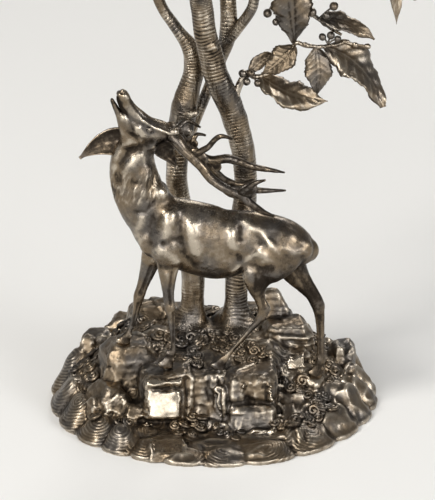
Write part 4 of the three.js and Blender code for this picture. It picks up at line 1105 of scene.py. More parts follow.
def mound_height(x, y):
    """The ground under the rocks, steeper at the front, with a chain of domes along the rim."""
    turn = np.arctan2(y, x)
    reach = np.hypot(x, y) / rim_radius(turn)
    facing = np.maximum(0, -np.sin(turn)) ** 1.6
    height = (1 - facing) * read_profile(SIDE_PROFILE, reach) + facing * read_profile(FRONT_PROFILE, reach)
    chain = step(0.74, 0.88, reach) * step(1, 0.93, reach)
    height = height + 7 * (1 - 0.55 * facing) * np.abs(np.sin(lobe_phase(turn))) * chain
    for at_x, at_y, radius, rise in SWELLS:
        inward = 1 - np.hypot(x - at_x, y - at_y) / radius
        height = height + rise * step(0, 1, inward) * (1 - step(0.92, 1, reach))
    return height


def hill(spokes, hoops, inset, sink, floor):
    """The mound on a polar grid, closed by a flat floor; inset and sink make it smaller and lower."""
    turn = np.arange(spokes) * (2 * np.pi / spokes)
    rings = []
    for share in np.linspace(1, 1 / hoops, hoops) ** 0.85:
        radius = (rim_radius(turn) - inset) * share
        x, y = radius * np.cos(turn), radius * np.sin(turn)
        height = np.maximum(mound_height(x, y) - sink, floor + 0.6)
        rings.append(np.stack([x, y, height], axis=1))
    foot = rings[0] * (1, 1, 0) + (0, 0, floor)
    return skin(np.array([foot, *rings]))


def boulder(at, foot, top, high, bevel, lean, turn, low):
    """A block with cut corners and a bevelled top, all slightly uneven."""
    rings = []
    share = (high - bevel - low) / (high - low)
    shoulder = (top[0] + 1.6 * bevel, top[1] + 1.6 * bevel)
    turned = np.array(Matrix.Rotation(math.radians(turn), 2))
    for (width, depth), z, shift in ((foot, low, 0), (shoulder, high - bevel, share), (top, high, 1)):
        w, d = width / 2, depth / 2
        cut = 0.34 * min(w, d)
        corners = np.array([(w - cut, -d), (w, cut - d), (w, d - cut), (w - cut, d)])
        corners = np.vstack([corners, -corners])
        order = np.arange(8)
        uneven = 1 + 0.06 * np.sin(2.4 * order + at[0] + 1.7 * shift)
        corners = (corners * uneven[:, None] + shift * np.array(lean)) @ turned.T + at
        rings.append(np.column_stack([corners, z + 1.1 * shift * np.cos(1.9 * order + at[1])]))
    return skin(np.array(rings))


def column(radius, low, high, at, sides=24):
    points, faces = skin(lathe([(radius, low), (radius, high)], sides))
    return points + (*at[:2], 0), faces


class CENTERPIECE_OT_base(bpy.types.Operator):
    """Model the hollow rocky base, with its ledges, boulders and fans of moss"""

    bl_idname = "centerpiece.base"
    bl_label = "Rocky base"

    # The boulder whose layers show as waves, and how far off its plane a panel still flattens the rock
    LAYERED_ROCK = (60, -6, 42)
    PANEL_REACH = 7
    # The cavity: how far it keeps from the rim, from the ground and below the table
    RIM_WALL = 10
    TOP_WALL = 6
    BELOW = -2
    # Radii of the bosses round the studs, of the studs' holes and of the wells for the hooves' nuts
    TREE_BOSS = 13
    HOOF_BOSS = 6
    TREE_HOLE = 3.3
    HOOF_HOLE = 1.7
    HOOF_WELL = 6.5

    def execute(self, context):
        shapes = [hill(spokes=288, hoops=60, inset=0, sink=0, floor=0)]
        shapes += [boulder(*each) for each in BOULDERS + STONES]
        made = fused("rocky_base", shapes)
        surface = Surface(made).store()
        polished = self.carve(surface)
        # Painted shade in the cave and the crevice, and darker rock and ground elsewhere, as listed in SHADES
        shade = [dark * near(distance(surface.points, at) ** 2, radius**2) for at, radius, dark in SHADES]
        surface.note_hollows(((2, 1.6), (10, 4.2), (50, 14)), extra=0.01 + sum(shade), even=0.8 * polished)
        self.hollow_out(made)
        metal = silver("rock_silver", rock_relief, 0.4 * MM, dark=-0.05, gloss=0.36, polish=0.26)
        finished(made, metal, STAND, "base_casting")
        return {"FINISHED"}

    def carve(self, surface):
        """Chiselled facets on the rocks, and domed fans of moss between them; returns where it is polished."""
        points = surface.points
        x, y, z = points.T
        rock = step(1.2, 3.5, z - mound_height(x, y))
        arc, seam = self.fans(points)
        swirl = step(-20, -70, x) + step(0, 0.3, Noise(40)(points, 24)) * step(96, 50, x)
        swirl = np.clip(swirl, 0, 1)
        surface.push(self.stone(surface) * rock + self.moss(points, seam, swirl) * (1 - rock))
        front = step(-0.2, -0.6, surface.normals[:, 1]) * step(-30, -36, y)
        surface.push(strokes(points[:, [0, 2]], LEDGE_LINES) * front)
        polish = self.polish(surface)
        surface.relax(1, 0.4)
        np.maximum(z, 0, out=z)
        points[:, :2] *= np.minimum(1, (BASE_RADIUS + 0.2) / np.maximum(np.hypot(x, y), 1))[:, None]
        surface.store()
        ways = np.array([hoof[:2] for hoof in HOOVES] + list(TREE_STUDS))
        clear = np.min([distance(points[:, :2], way) for way in ways], axis=0)
        reach = np.hypot(x, y) / rim_radius(np.arctan2(y, x))
        level = step(0.9, 0.8, reach) * step(0.3, 0.7, surface.normals[:, 2]) * (1 - rock)
        moss = level * step(6, 11, clear) * (1 - 0.75 * step(-74, -82, y)) * step(-0.45, 0.1, Noise(39)(points, 20))
        for name, values in {"arc": arc, "swirl": swirl, "rock": rock, "polish": polish, "moss": moss}.items():
            surface.note(name, values)
        return polish

    def stone(self, surface):
        """Height of the rocks' facets and layers, kept low near the table and the rim."""
        points = surface.points
        z = points[:, 2]
        facets = chiselled(points * (1, 1, 0.8), 17, 31) + 0.4 * chiselled(points, 4.5, 32)
        upright = step(0.6, 0.2, np.abs(surface.normals[:, 2]))
        layers = np.sin(1.25 * z + 2.6 * Noise(33)(points, 18)) * upright
        wavy = near(distance(points, self.LAYERED_ROCK), 22) * np.sin(1.1 * z + 3 * Noise(38)(points, 14))
        return (sizes().rock_relief / MM * facets + 0.12 * layers + 1.1 * wavy) * self.kept(points)

    def moss(self, points, seam, swirl):
        """Height of the domed fans and of the folds that take their place."""
        folds = 1 - np.abs(Noise(41)(points * (1, 1, 0.5) + 1.2 * Noise(42)(points, 9)[:, None], 8))
        domes = (1.3 * step(-1, 7, seam) - 0.8) * (0.35 + 0.65 * swirl) + 0.9 * Noise(34)(points, 11)
        return (domes + (1 - swirl) * (1.9 * folds**2 - 1)) * self.kept(points)

    def kept(self, points):
        """How much of the relief is left close to the table and to the rim's edge."""
        edge = 1 - step(BASE_RADIUS - 6, BASE_RADIUS - 1, np.hypot(*points[:, :2].T))
        return step(0.4, 2.4, points[:, 2]) * np.maximum(edge, 0.4)

    def fans(self, points):
        """For each point, how far it lies from the middle of its fan of moss, and from the next fan."""
        turn = np.linspace(-np.pi, np.pi, 4000)
        lobes = np.arange(-RIM_LOBES // 2, RIM_LOBES // 2)
        rows = []
        for shift, inset in RIM_FANS:
            crowns = np.interp((lobes + shift) * np.pi, lobe_phase(turn), turn)
            rows.append(np.column_stack([crowns, rim_radius(crowns) - inset]))
        number = np.arange(3, FAN_COUNT)
        rows.append(np.column_stack([number * GOLDEN_ANGLE, FAN_REACH * np.sqrt(number / FAN_COUNT)]))
        turn, radius = np.vstack(rows).T
        x, y = radius * np.cos(turn), radius * np.sin(turn)
        middles = np.column_stack([x, y, mound_height(x, y) + 1])
        middles += np.random.default_rng(6).uniform(-FAN_JITTER, FAN_JITTER, middles.shape)
        arc = np.empty(len(points))
        seam = np.empty(len(points))
        for part in np.array_split(np.arange(len(points)), 60):
            away = np.linalg.norm(points[part, None] - middles[None], axis=2)
            away.partition(1, axis=1)
            arc[part] = away[:, 0]
            seam[part] = away[:, 1] - away[:, 0]
        return arc, seam

    def polish(self, surface):
        """Cuts the ledges' large faces flat, inside a raised rough edge."""
        shine = np.zeros(len(surface.points))
        for middle, way, half_width, half_height in PANELS:
            way = unit(np.array(way))
            level = unit(np.cross((0, 0, 1), way))
            off = surface.points - middle
            over = off @ way
            ragged = 1.6 * Noise(37)(surface.points, 6) + 0.8 * Noise(43)(surface.points, 2.5)
            across, up = np.abs(off @ level), np.abs(off @ np.cross(way, level))
            beyond = np.maximum(across - half_width, up - half_height) + ragged
            facing = (np.abs(over) < self.PANEL_REACH) * step(0, 0.3, surface.normals @ way)
            share = step(0.2, -0.8, beyond) * facing
            edge = near(beyond - 0.9, 0.8) * facing
            swell = 0.6 * Noise(36)(surface.points, 8)
            surface.points += ((swell - over) * share + 0.7 * edge)[:, None] * way
            shine = np.maximum(shine, share)
        return shine

    def hollow_out(self, made):
        """Cuts the cavity, adds the bosses and drills the holes, as in the frame."""
        cavity = [hill(spokes=96, hoops=16, inset=self.RIM_WALL, sink=self.TOP_WALL, floor=self.BELOW)]
        bosses = [column(self.TREE_BOSS, TREE_SEAT, 52, at) for at in TREE_STUDS]
        bosses += [column(self.HOOF_BOSS, z - HOOF_SEAT_DEPTH, z - 3, (x, y)) for x, y, z in HOOVES]
        holes = [column(self.TREE_HOLE, TREE_SEAT - 1, 60, at) for at in TREE_STUDS]
        holes += [column(self.HOOF_HOLE, 0, z + 1, (x, y)) for x, y, z in HOOVES]
        wells = [column(self.HOOF_WELL, -1, z - HOOF_SEAT_DEPTH, (x, y), 32) for x, y, z in HOOVES]
        stages = [(cavity, "DIFFERENCE"), (bosses, "UNION"), (wells, "DIFFERENCE"), (holes, "DIFFERENCE")]
        cutters = []
        for shapes, kind in stages:
            cutter = new_object("cutter", *merged(shapes))
            cut = made.modifiers.new(kind.lower(), "BOOLEAN")
            cut.operation = kind
            cut.solver = "MANIFOLD"
            cut.object = cutter
            cutters.append(cutter)
        settle(made)
        for cutter in cutters:
            bpy.data.objects.remove(cutter)


def new_tree(name, result, **inputs):
    """A Geometry Nodes tree with its named inputs, and the graph and input node to build it with."""
    tree = bpy.data.node_groups.new(name, "GeometryNodeTree")
    for socket, kind in inputs.items():
        tree.interface.new_socket(socket, in_out="INPUT", socket_type="NodeSocket" + kind)
    tree.interface.new_socket(result, in_out="OUTPUT", socket_type="NodeSocketGeometry")
    graph = Graph(tree)
    return tree, graph, graph.node("NodeGroupInput")


def end_tree(graph, given, placed, result):
    """Makes the instances real and gives them their material."""
    loose = graph.node("GeometryNodeRealizeInstances", {}, {"Geometry": placed})
    ready = graph.node("GeometryNodeSetMaterial", {}, {"Geometry": loose, "Material": given.other("Finish")})
    graph.node("NodeGroupOutput", {}, {result: ready})


# Scrolls on a square metre before those that lie too close are dropped
MOST_SCROLLS = 60000.0


def moss_tree():
    """Scatters scrolls over the ground where its attribute "moss" allows, turned and sized at random."""
    tree, graph, given = new_tree(
        "moss_scrolls", "Moss",
        Ground="Geometry", Scroll="Object", Spacing="Float", Scale="Float", Seed="Int", Finish="Material",
    )
    allowed = graph.node("GeometryNodeInputNamedAttribute", {"data_type": "FLOAT"}, {"Name": "moss"})
    spots = graph.node(
        "GeometryNodeDistributePointsOnFaces",
        {"distribute_method": "POISSON"},
        {
            "Mesh": given, "Distance Min": given.other("Spacing"), "Density Max": MOST_SCROLLS,
            "Density Factor": allowed, "Seed": given.other("Seed"),
        },
    )
    spin = graph.node(
        "FunctionNodeRandomValue",
        {"data_type": "FLOAT_VECTOR"},
        {"Min": (-0.3, -0.3, 0), "Max": (0.3, 0.3, 2 * math.pi), "Seed": given.other("Seed")},
    )
    spin = graph.node("FunctionNodeEulerToRotation", {}, {0: spin})
    turned = graph.node(
        "FunctionNodeRotateRotation",
        {"rotation_space": "LOCAL"},
        {"Rotation": spots.other("Rotation"), "Rotate By": spin},
    )
    size = graph.node("FunctionNodeRandomValue", {"data_type": "FLOAT"}, {2: 0.7, 3: 1.25, "Seed": 7}, output=1)
    scroll = graph.node("GeometryNodeObjectInfo", {}, {"Object": given.other("Scroll")}, output=4)
    placed = graph.node(
        "GeometryNodeInstanceOnPoints",
        {},
        {"Points": spots, "Instance": scroll, "Rotation": turned, "Scale": size * given.other("Scale")},
    )
    end_tree(graph, given, placed, "Moss")
    return tree


def grown(made, tree, **values):
    """Runs a Geometry Nodes tree on an object and keeps the plain mesh that it makes."""
    grow = made.modifiers.new(tree.name, "NODES")
    grow.node_group = tree
    for socket in tree.interface.items_tree:
        if socket.in_out == "INPUT" and socket.name.lower() in values:
            grow[socket.identifier] = values[socket.name.lower()]
    return settle(made)


class CENTERPIECE_OT_moss(bpy.types.Operator):
    """Cover the ground with small scrolls of moss"""

    bl_idname = "centerpiece.moss"
    bl_label = "Moss"

    # Least distance between two scrolls, as a share of their width
    SPACING = 0.66
    SEED = 5

    def execute(self, context):
        metal = silver("moss_silver", moss_relief, 0.2 * MM, dark=0.02, gloss=0.32)
        scroll = self.make_scroll()
        made = bpy.data.objects.new("moss_scrolls", bpy.data.objects["rocky_base"].data.copy())
        context.scene.collection.objects.link(made)
        width = sizes().curl_width
        values = {"spacing": self.SPACING * width, "scale": width / MM, "seed": self.SEED}
        grown(made, moss_tree(), scroll=scroll, finish=metal, **values)
        bpy.data.objects.remove(scroll)
        finished(made, metal, STAND)
        return {"FINISHED"}

    def make_scroll(self):
        """One scroll, a millimetre across: a ridge that winds in on itself and rises."""
        turn = np.linspace(0, 3.7 * np.pi, 22)
        radius = 0.56 - 0.043 * turn
        rise = 0.02 + 0.006 * turn
        size = 0.075 - 0.0022 * turn
        line = np.column_stack([radius * np.cos(turn), radius * np.sin(turn), rise, size, size * 1.25])
        made = new_object("scroll", *tube(line.tolist(), sides=4, steps=1, across=(0.1, 0.1, 1)))
        surface = Surface(made)
        surface.note("hollow", step(0.16, 0.02, surface.points[:, 2]) * 0.6 + 0.3)
        return made


# Tree. A station of a limb is a place and half its width.

RING_BOTTOM = 372
TRUNK_LEFT = [
    (-15.3, 12, 49, 14.5), (-15.3, 12, 59, 11.8), (-15.3, 12, 67, 10), (-15.2, 12, 82, 9.2),
    (-15.2, 12, 101, 9.2), (-20.3, 12, 133, 8.8), (-26.2, 12, 165.5, 8.2), (-26.9, 12, 185.4, 8.2),
    (-24.5, 12, 209, 9.4), (-23, 12, 221, 9.8), (-20.7, 12, 234, 9.4), (-16.9, 13, 248, 8),
    (-13.9, 14, 258, 7.8), (-13.9, 14, 268, 7.6), (-17.6, 13, 278.7, 6.2), (-24.1, 12, 288, 4.7),
    (-30, 12, 296.6, 4.4), (-35.1, 12, 304, 4.2), (-39.4, 12, 313, 4.2), (-48, 10, 336, 4),
    (-58, 8, 356, 4), (-60, 8, RING_BOTTOM, 4),
]
TRUNK_RIGHT = [
    (16.5, 8, 49, 15.5), (16.8, 8, 59, 12.6), (17.2, 8, 68, 10.6), (17.6, 8, 78, 9.2), (17.5, 8, 94.4, 8.8),
    (21.9, 8, 139, 9), (24.8, 8, 167, 8.8), (22.5, 6, 199, 8.8), (14.2, 2, 232, 9.2), (6.8, -2, 250, 9.3),
    (1.6, -4, 263, 9.2), (-2, -6, 279, 8.8), (-5.6, -8, 296, 8.6), (-8.5, -9, 319, 8.4),
    (-11, -22, 338, 6.4), (-15, -43, 353, 4.8), (-16.5, -58, 364, 4.2), (-16.6, -59, RING_BOTTOM, 4.2),
]
BACK_LIMB = [
    (-25, 20, 192, 4.4), (-18.7, 24, 202.7, 4.5), (-12.6, 24, 218.5, 4.4), (-4.4, 25, 238.6, 4.3),
    (2.3, 25, 255.7, 4.5), (8.3, 24, 271.5, 5), (11.2, 23, 284, 6.6), (11.8, 22, 296, 6.6),
    (11, 24, 311, 6.2), (9, 34, 332, 5.4), (6, 50, 352, 4.6), (4, 60, 364, 4.2), (4, 60, RING_BOTTOM, 4.2),
]
SIDE_LIMB = [
    (10, 22, 279, 3.6), (12.5, 20, 281, 4), (18.6, 17, 290.5, 4.3), (24.4, 15, 298.8, 4.2),
    (28.8, 14, 306.7, 4.1), (30.4, 13, 314, 4), (33, 12, 328, 4), (41, 10, 346, 4), (56, 7, 361, 4),
    (60, 6, RING_BOTTOM, 4),
]
LOW_TWIG = [
    (10, 0, 241, 4.4), (15.5, 0, 244, 3.8), (18.6, 0, 249.6, 2.9), (22.2, 0, 257, 2.6), (26, 0, 260.4, 2.3),
    (31, -1, 258.6, 2), (38, -2, 260, 1.8), (46, -3, 265, 1.7), (56.5, -3, 278, 1.6), (61, -3, 285, 1.6),
    (67.4, -4, 283.6, 1.7), (77, -6, 283, 1.6), (89.3, -6, 284.2, 1.4), (96.5, -6, 286.2, 1.3),
    (104, -6, 284.4, 1.2), (113, -6, 283.4, 1),
]
UPPER_TWIG = [
    (30, 13, 321, 2), (36, 10, 320.5, 2.2), (49, 4, 320, 2), (60, 1, 315.5, 1.8), (72.4, 0, 306, 1.6),
    (82, -2, 299, 1.4), (88, -3.5, 295, 1.3), (94, -4.5, 291.6, 1),
]
# Roots: from the trunk down into the ground
ROOTS = [
    [(24, 6, 74, 3), (30, 6, 62, 4.4), (36, 5, 54, 3.6), (44, 4, 48, 2)],
    [(19, 15, 74, 3), (20, 22, 62, 4.6), (22, 29, 54, 3.6), (24, 38, 46, 2)],
    [(10, 12, 72, 3), (4, 17, 62, 4), (0, 22, 54, 3.4), (-3, 30, 48, 2)],
    [(-23, 12, 74, 3), (-29, 14, 63, 4.2), (-36, 16, 56, 3.4), (-44, 19, 48, 2)],
    [(-16, 20, 74, 3), (-18, 27, 62, 4.4), (-21, 34, 54, 3.4), (-25, 42, 46, 2)],
]
# Knots, the scar of a lost limb and the low masses round the trunks' feet: place, half sizes, lean
KNOTS = [
    ((-1, -13.5, 285), (5, 3.4, 4.2), 0), ((-24, 3.4, 215), (9.4, 3.4, 5), 8), ((-17, 4, 228), (8, 3.6, 4), -12),
    ((26, 0, 150), (5, 3, 7), 0), ((-20, 4, 122), (4, 2.6, 6), 0), ((12, -5, 236), (4, 3, 5), 0),
    ((14, 1, 110), (4, 3, 8), 10), ((12, 30, 290), (5, 3, 6), 0), ((-12, 21, 262), (5, 3, 6), 0),
    ((17, 5, 50), (19, 18, 13), 0), ((-15, 10, 50), (18, 17, 13), 0), ((2, 4, 49), (22, 14, 9), 0),
]


class CENTERPIECE_OT_tree(bpy.types.Operator):
    """Model the crossing trunks, their roots, limbs and twigs in ringed bark"""

    bl_idname = "centerpiece.tree"
    bl_label = "Tree"

    def execute(self, context):
        bark = silver("bark_silver", bark_relief, 0.6 * MM, dark=0.16, gloss=0.22)
        limbs = [TRUNK_LEFT, TRUNK_RIGHT, BACK_LIMB, SIDE_LIMB]
        shapes = [tube(stations) for stations in limbs]
        shapes += [tube([(x, y, z - 5, 1.7 * size) for x, y, z, size in root], sides=14) for root in ROOTS]
        shapes += [mass(*knot) for knot in KNOTS]
        made = fused("tree_wood", shapes)
        surface = Surface(made)
        surface.relax(60, 0.03 + 0.6 * step(88, 76, surface.points[:, 2:])).store()
        along, thick = self.follow(surface.points, limbs)
        self.carve(surface, along, thick)
        low = step(84, 66, surface.points[:, 2])
        surface.note("along", along)
        surface.note("low", low)
        mottles = 0.34 * Noise(56)(surface.points * (1, 1, 0.45), 7)
        surface.note_hollows(((2, 0.6), (9, 2.2), (40, 8)), extra=0.03 + 0.03 * low + mottles)
        finished(made, bark, STAND, "trunk_left", "trunk_right", "back_limb", "side_limb")
        self.make_twig("low_twig", LOW_TWIG, bark)
        self.make_twig("upper_twig", UPPER_TWIG, bark)
        return {"FINISHED"}

    def follow(self, points, limbs):
        """For each point, how far up its limb it lies and how thick the limb is there."""
        rows = []
        start = 0
        for stations in limbs:
            line = smooth_rows(stations, 10)
            steps = np.linalg.norm(np.diff(line[:, :3], axis=0), axis=1)
            length = np.concatenate([[0], np.cumsum(steps)]) + start
            rows.append(np.column_stack([line[:, :4], length]))
            start += length[-1] + 30
        rows = np.vstack(rows)
        nearest = np.empty(len(points), int)
        for part in np.array_split(np.arange(len(points)), 40):
            away = np.linalg.norm(points[part, None] - rows[None, :, :3], axis=2) - rows[None, :, 3]
            nearest[part] = away.argmin(axis=1)
        best = rows[nearest]
        way = unit(np.gradient(rows[:, :3], axis=0))[nearest]
        return best[:, 4] + ((points - best[:, :3]) * way).sum(axis=1), best[:, 3]

    def carve(self, surface, along, thick):
        """Rings round the thick limbs, under lumps and hollows."""
        points = surface.points
        pitch = sizes().bark_pitch / MM
        share = step(2.5, 9, thick)
        wander = 1.4 * Noise(51)(points, 9)
        rings = np.cos((along + wander) * 2 * np.pi / pitch)
        rough = 0.5 * Noise(52)(points * (1, 1, 0.45), 3.4) + 0.8 * Noise(53)(points * (1, 1, 0.3), 9)
        clear = np.maximum(step(-0.1, 0.5, Noise(55)(points, 22)), step(236, 262, points[:, 2]))
        surface.push(share * (0.17 * clear * rings + 0.75 * rough) * step(50, 80, points[:, 2]))

    def make_twig(self, name, stations, bark):
        """A thin twig with its nodes, and with two buds at the end of the low one."""
        shapes = [tube(stations, sides=12, steps=8)]
        for x, y, z, size in stations[1:-1:3]:
            shapes.append(mass((x, y - 0.6, z + 0.6), (size * 1.25, size * 1.1, size * 1.2)))
        if name == "low_twig":
            for x, y, z, _ in stations[-2:]:
                shapes.append(mass((x, y, z), (2.6, 2.1, 2.1), 20))
        made = new_object(name + "_wood", *merged(shapes))
        surface = Surface(made).store()
        surface.push(0.22 * Noise(54)(surface.points, 1.8))
        surface.note("along", surface.points[:, 0])
        surface.note_hollows(((3, 0.7), (10, 2)))
        finished(made, bark, STAND, name)


# Leaves and berries


def leaf_rows(root, bend, tip, count):
    """Points and ways along the curved rib of a leaf."""
    root, bend, tip = (np.array(each, float) for each in (root, bend, tip))
    t = np.linspace(0, 1, count)[:, None]
    rib = (1 - t) ** 2 * root + 2 * t * (1 - t) * bend + t * t * tip
    return t[:, 0], rib, unit(2 * (1 - t) * (bend - root) + 2 * t * (tip - bend))


# Thickness of ears and leaves, points across a blade, teeth and veins along one
EAR_WALL = 1.5
LEAF_WALL = 1
LEAF_COLUMNS = 15
TEETH = 11.5
VEINS = 7.5


def cross_section(edge):
    """Places across a blade, from edge to edge over its upper side and back below, and which side each is on."""
    across = np.concatenate([np.linspace(1, -1, LEAF_COLUMNS), np.linspace(-edge, edge, LEAF_COLUMNS - 2)])
    return across, np.repeat([1, -1], [LEAF_COLUMNS, LEAF_COLUMNS - 2])


def cupped_leaf(root, bend, tip, face, width):
    """An ear: a pointed shell, cupped round its long axis."""
    t, rib, along = leaf_rows(root, bend, tip, 36)
    across = unit(np.cross(np.array(face), along))
    up = np.cross(along, across)
    half = width / 2 * np.maximum(0.12, np.sin(np.pi * t**0.56) ** 0.9)
    s, upper = cross_section(0.9)
    rings = []
    for k, here in enumerate(t):
        lift = 0.36 * half[k] * np.abs(s) ** 2.2 - 0.5
        ridge = 0.35 * np.cos(5 * np.pi * s) * (upper > 0) * (1 - here)
        wall = EAR_WALL / 2 * (1 - 0.6 * np.abs(s) ** 3) * upper
        rings.append(rib[k] + np.outer(s * half[k], across[k]) + np.outer(lift + ridge + wall, up[k]))
    return skin(np.array(rings))


def leaf(root, bend, tip, face=(0, 0, 1), width=20, twist=0.0, shade=0.05, belly=0.78, seed=0, rows=58):
    """A toothed leaf with a raised rib and veins, quilted between them, and its hollows."""
    t, rib, along = leaf_rows(root, bend, tip, rows)
    across = unit(np.cross(np.array(face, float), along))
    up = np.cross(along, across)
    roll = twist * (t - 0.3)
    turned, lifted = np.cos(roll)[:, None], np.sin(roll)[:, None]
    across, up = across * turned + up * lifted, up * turned - across * lifted
    teeth = (t * TEETH) % 1
    waves = 0.07 * np.sin(16 * t + 1.7 * seed)
    outline = np.maximum(0.05, np.sin(np.pi * t**belly) ** (0.75 + 0.35 * t))
    half = width / 2 * outline * (0.9 + (0.08 * teeth + waves) * step(0.1, 0.25, t) * step(1, 0.75, t))
    s, upper = cross_section(1 - 2 / (LEAF_COLUMNS - 1))
    away = np.abs(s)
    rings, hollow = [], []
    for k, here in enumerate(t):
        vein = np.cos(2 * np.pi * (here * VEINS - 1.5 * away + 0.12 * np.sign(s)))
        vein = np.maximum(0, vein) ** 3 * (1 - away**6) * step(0.03, 0.12, away)
        midrib = near(away, 0.07) * (1 - 0.6 * here)
        ruffle = np.sin(8.5 * here + seed + 1.5 * np.sign(s + 0.1)) * 0.1 * width * away**2
        ripple = np.sin(26 * here + 2 * seed + np.sign(s + 0.1)) * 0.035 * width * away**3
        curl = 0.3 * half[k] * away**1.3 - 0.26 * half[k] * away**4
        body = curl + ruffle + ripple + 0.022 * width * vein + 0.04 * width * midrib
        wall = LEAF_WALL / 2 * (1 - 0.55 * away**4) * upper * min(1, 0.4 + 4 * here)
        rings.append(rib[k] + np.outer(s * half[k], across[k]) + np.outer(body + wall, up[k]))
        hollow.append(0.42 + shade - 0.3 * (vein + midrib) - 0.12 * away**5 + 0.3 * near(away - 0.13, 0.07))
    hollow = np.concatenate([np.concatenate(hollow), [0.5, 0.3]])
    points, faces = skin(np.array(rings))
    return points, faces, np.clip(hollow, 0, 1)


def berry(x, y, z, radius, way=(0, -0.5, -1)):
    """A ripe berry with the crown of its blossom, and its hollows."""
    height = np.linspace(-0.5, 0.5, 12) * np.pi
    profile = [(radius * math.cos(a) + 0.01, radius * math.sin(a)) for a in height]
    profile[-3:] = [(0.42 * radius, 0.98 * radius), (0.3 * radius, 0.82 * radius), (0.1 * radius, 0.7 * radius)]
    points, faces = skin(lathe(profile, 14))
    hollow = np.concatenate([np.repeat([0.7, 0.6, 0.55, 0.5, 0.45, 0.45, 0.45, 0.5, 0.6, 0.7, 1, 1], 14), [0.7, 1]])
    turned = np.array(Vector(way).to_track_quat("Z", "Y").to_matrix())
    return points @ turned.T + (x, y, z), faces, hollow


def stalk(stations, sides=8):
    points, faces = tube(stations, sides=sides, steps=5, across=(0.3, 1, 0.2))
    return points, faces, np.full(len(points), 0.55)


def bouquet(name, shapes, material, *nodes):
    """One piece from leaves, berries and stalks, which know their hollows."""
    made = new_object(name, *merged([shape[:2] for shape in shapes]))
    hollow = np.concatenate([shape[2] for shape in shapes])
    surface = Surface(made).store()
    surface.push(0.07 * Noise(61)(surface.points, 1.6))
    surface.note("hollow", np.clip(hollow + 0.1 * Noise(62)(surface.points, 6), 0, 1))
    surface.note("along", surface.points[:, 2])
    finished(made, material, STAND, *nodes)


# Leaves of the low spray: root, bend, tip, the way the blade faces, width, twist, darkness and belly
LEAVES = {
    "leaf_low": ((34.5, -1.5, 259.2), (56, -17, 245), (84, -21, 246), (0.25, -0.62, 0.74), 29, 0.3),
    "leaf_curled": ((60, -3, 283.5), (50, -10, 272), (36, -8, 263), (-0.5, -0.8, 0.3), 21, -0.6, 0.3),
    "leaf_small": ((26.5, -0.3, 260.4), (36, 3, 276), (50, 5, 271.5), (0.4, -0.7, 0.5), 11, 0.4, 0.25),
    "leaf_hanging": ((75, -6, 282.5), (79, -13, 266), (76, -10, 247), (0.1, -1, -0.1), 22, 0.5, 0.16),
    "leaf_large": ((79, -6.2, 283.2), (111, -12, 277), (124, -20, 241), (0.35, -0.62, 0.7), 35, -0.25, 0.05, 1.0),
    "leaf_upper": ((77.5, -1.1, 302.4), (98, -6, 304), (118, -6, 288.5), (0.15, -0.6, 0.78), 19, 0.35, 0.14),
    "leaf_rising": ((60.5, -3, 285.2), (57, -15, 310), (56, -12, 338), (0, -1, -0.15), 31, 0.5, 0.3, 1.25),
}
# Bunches: the knot that they hang from, then the place and radius of each berry
BUNCHES = {
    "berries_stub": ((27, -2, 260), ((22, -4, 262, 3), (28, -5.5, 263, 3), (25, -5, 256, 2.8), (33, -5.5, 255, 2.8))),
    "berries_left": ((47.5, 3.6, 318.6), ((40, -1, 307, 3.3), (46, -3, 301, 2.7), (45, -2, 314, 2.9))),
    "berries_right": ((77, -1.5, 302.5), ((72, -6, 309, 3.6), (83, -7, 307, 3), (88, -4, 313, 3.3))),
    "berries_twig": ((84, -7, 285.5), ((80, -8, 291, 2.8), (86, -9, 292.5, 3), (91, -8, 289.5, 2.6))),
}


class CENTERPIECE_OT_foliage(bpy.types.Operator):
    """Model the leaves and berries of the low spray"""

    bl_idname = "centerpiece.foliage"
    bl_label = "Leaves and berries"

    def execute(self, context):
        metal = silver("leaf_silver", coat_relief, 0.15 * MM, gloss=0.33)
        leaves = [leaf(*shape, seed=number) for number, shape in enumerate(LEAVES.values())]
        bouquet("spray_leaves", leaves, metal, *LEAVES)
        fruit = []
        for knot, berries in BUNCHES.values():
            for *place, radius in berries:
                place = np.array(place)
                fruit.append(berry(*place, radius, place - knot))
                middle = (place + knot) / 2 + (0, 0, 0.8)
                fruit.append(stalk([(*knot, 0.8), (*middle, 0.7), (*place, 0.7)]))
        bouquet("spray_berries", fruit, metal, *BUNCHES)
        return {"FINISHED"}


# Crown, for the spray that points along X, with heights from the ring's bottom. Leaves: root, bend, tip, width
CROWN_TWIG = [(61, 0, 5, 2.4), (80, 1, 11, 2.2), (96, -1, 12, 1.9), (110, 0, 9, 1.4)]
CROWN_LEAVES = [
    ((106, 0, 10), (129, 0, 14), (147, 2, 5), 27),
    ((95, 1, 12), (108, 20, 17), (122, 36, 1), 24),
    ((90, -1, 12), (104, -18, 17), (120, -37, -1), 24),
]
# How far the tips of each spray's leaves hang lower than the table says
CROWN_DROOPS = (10, 12, 16, 8, 12, 16)
CROWN_BERRIES = [(92, 3, 9, 3.2), (99, -3, 9, 3.2), (103, 3, 7.5, 3)]
HANGING_TWIG = [(108, 0, 8, 1.5), (122, 3, -7, 1.4), (131, 4, -25, 1.2), (142, 2, -42, 1)]
HANGING_LEAF = ((129, 4, -21), (134, -1, -45), (134, -2, -73))
HANGING_BERRIES = [(143, 0, -48, 3), (147, -1, -52.5, 2.7), (142, 3, -44, 2.8)]


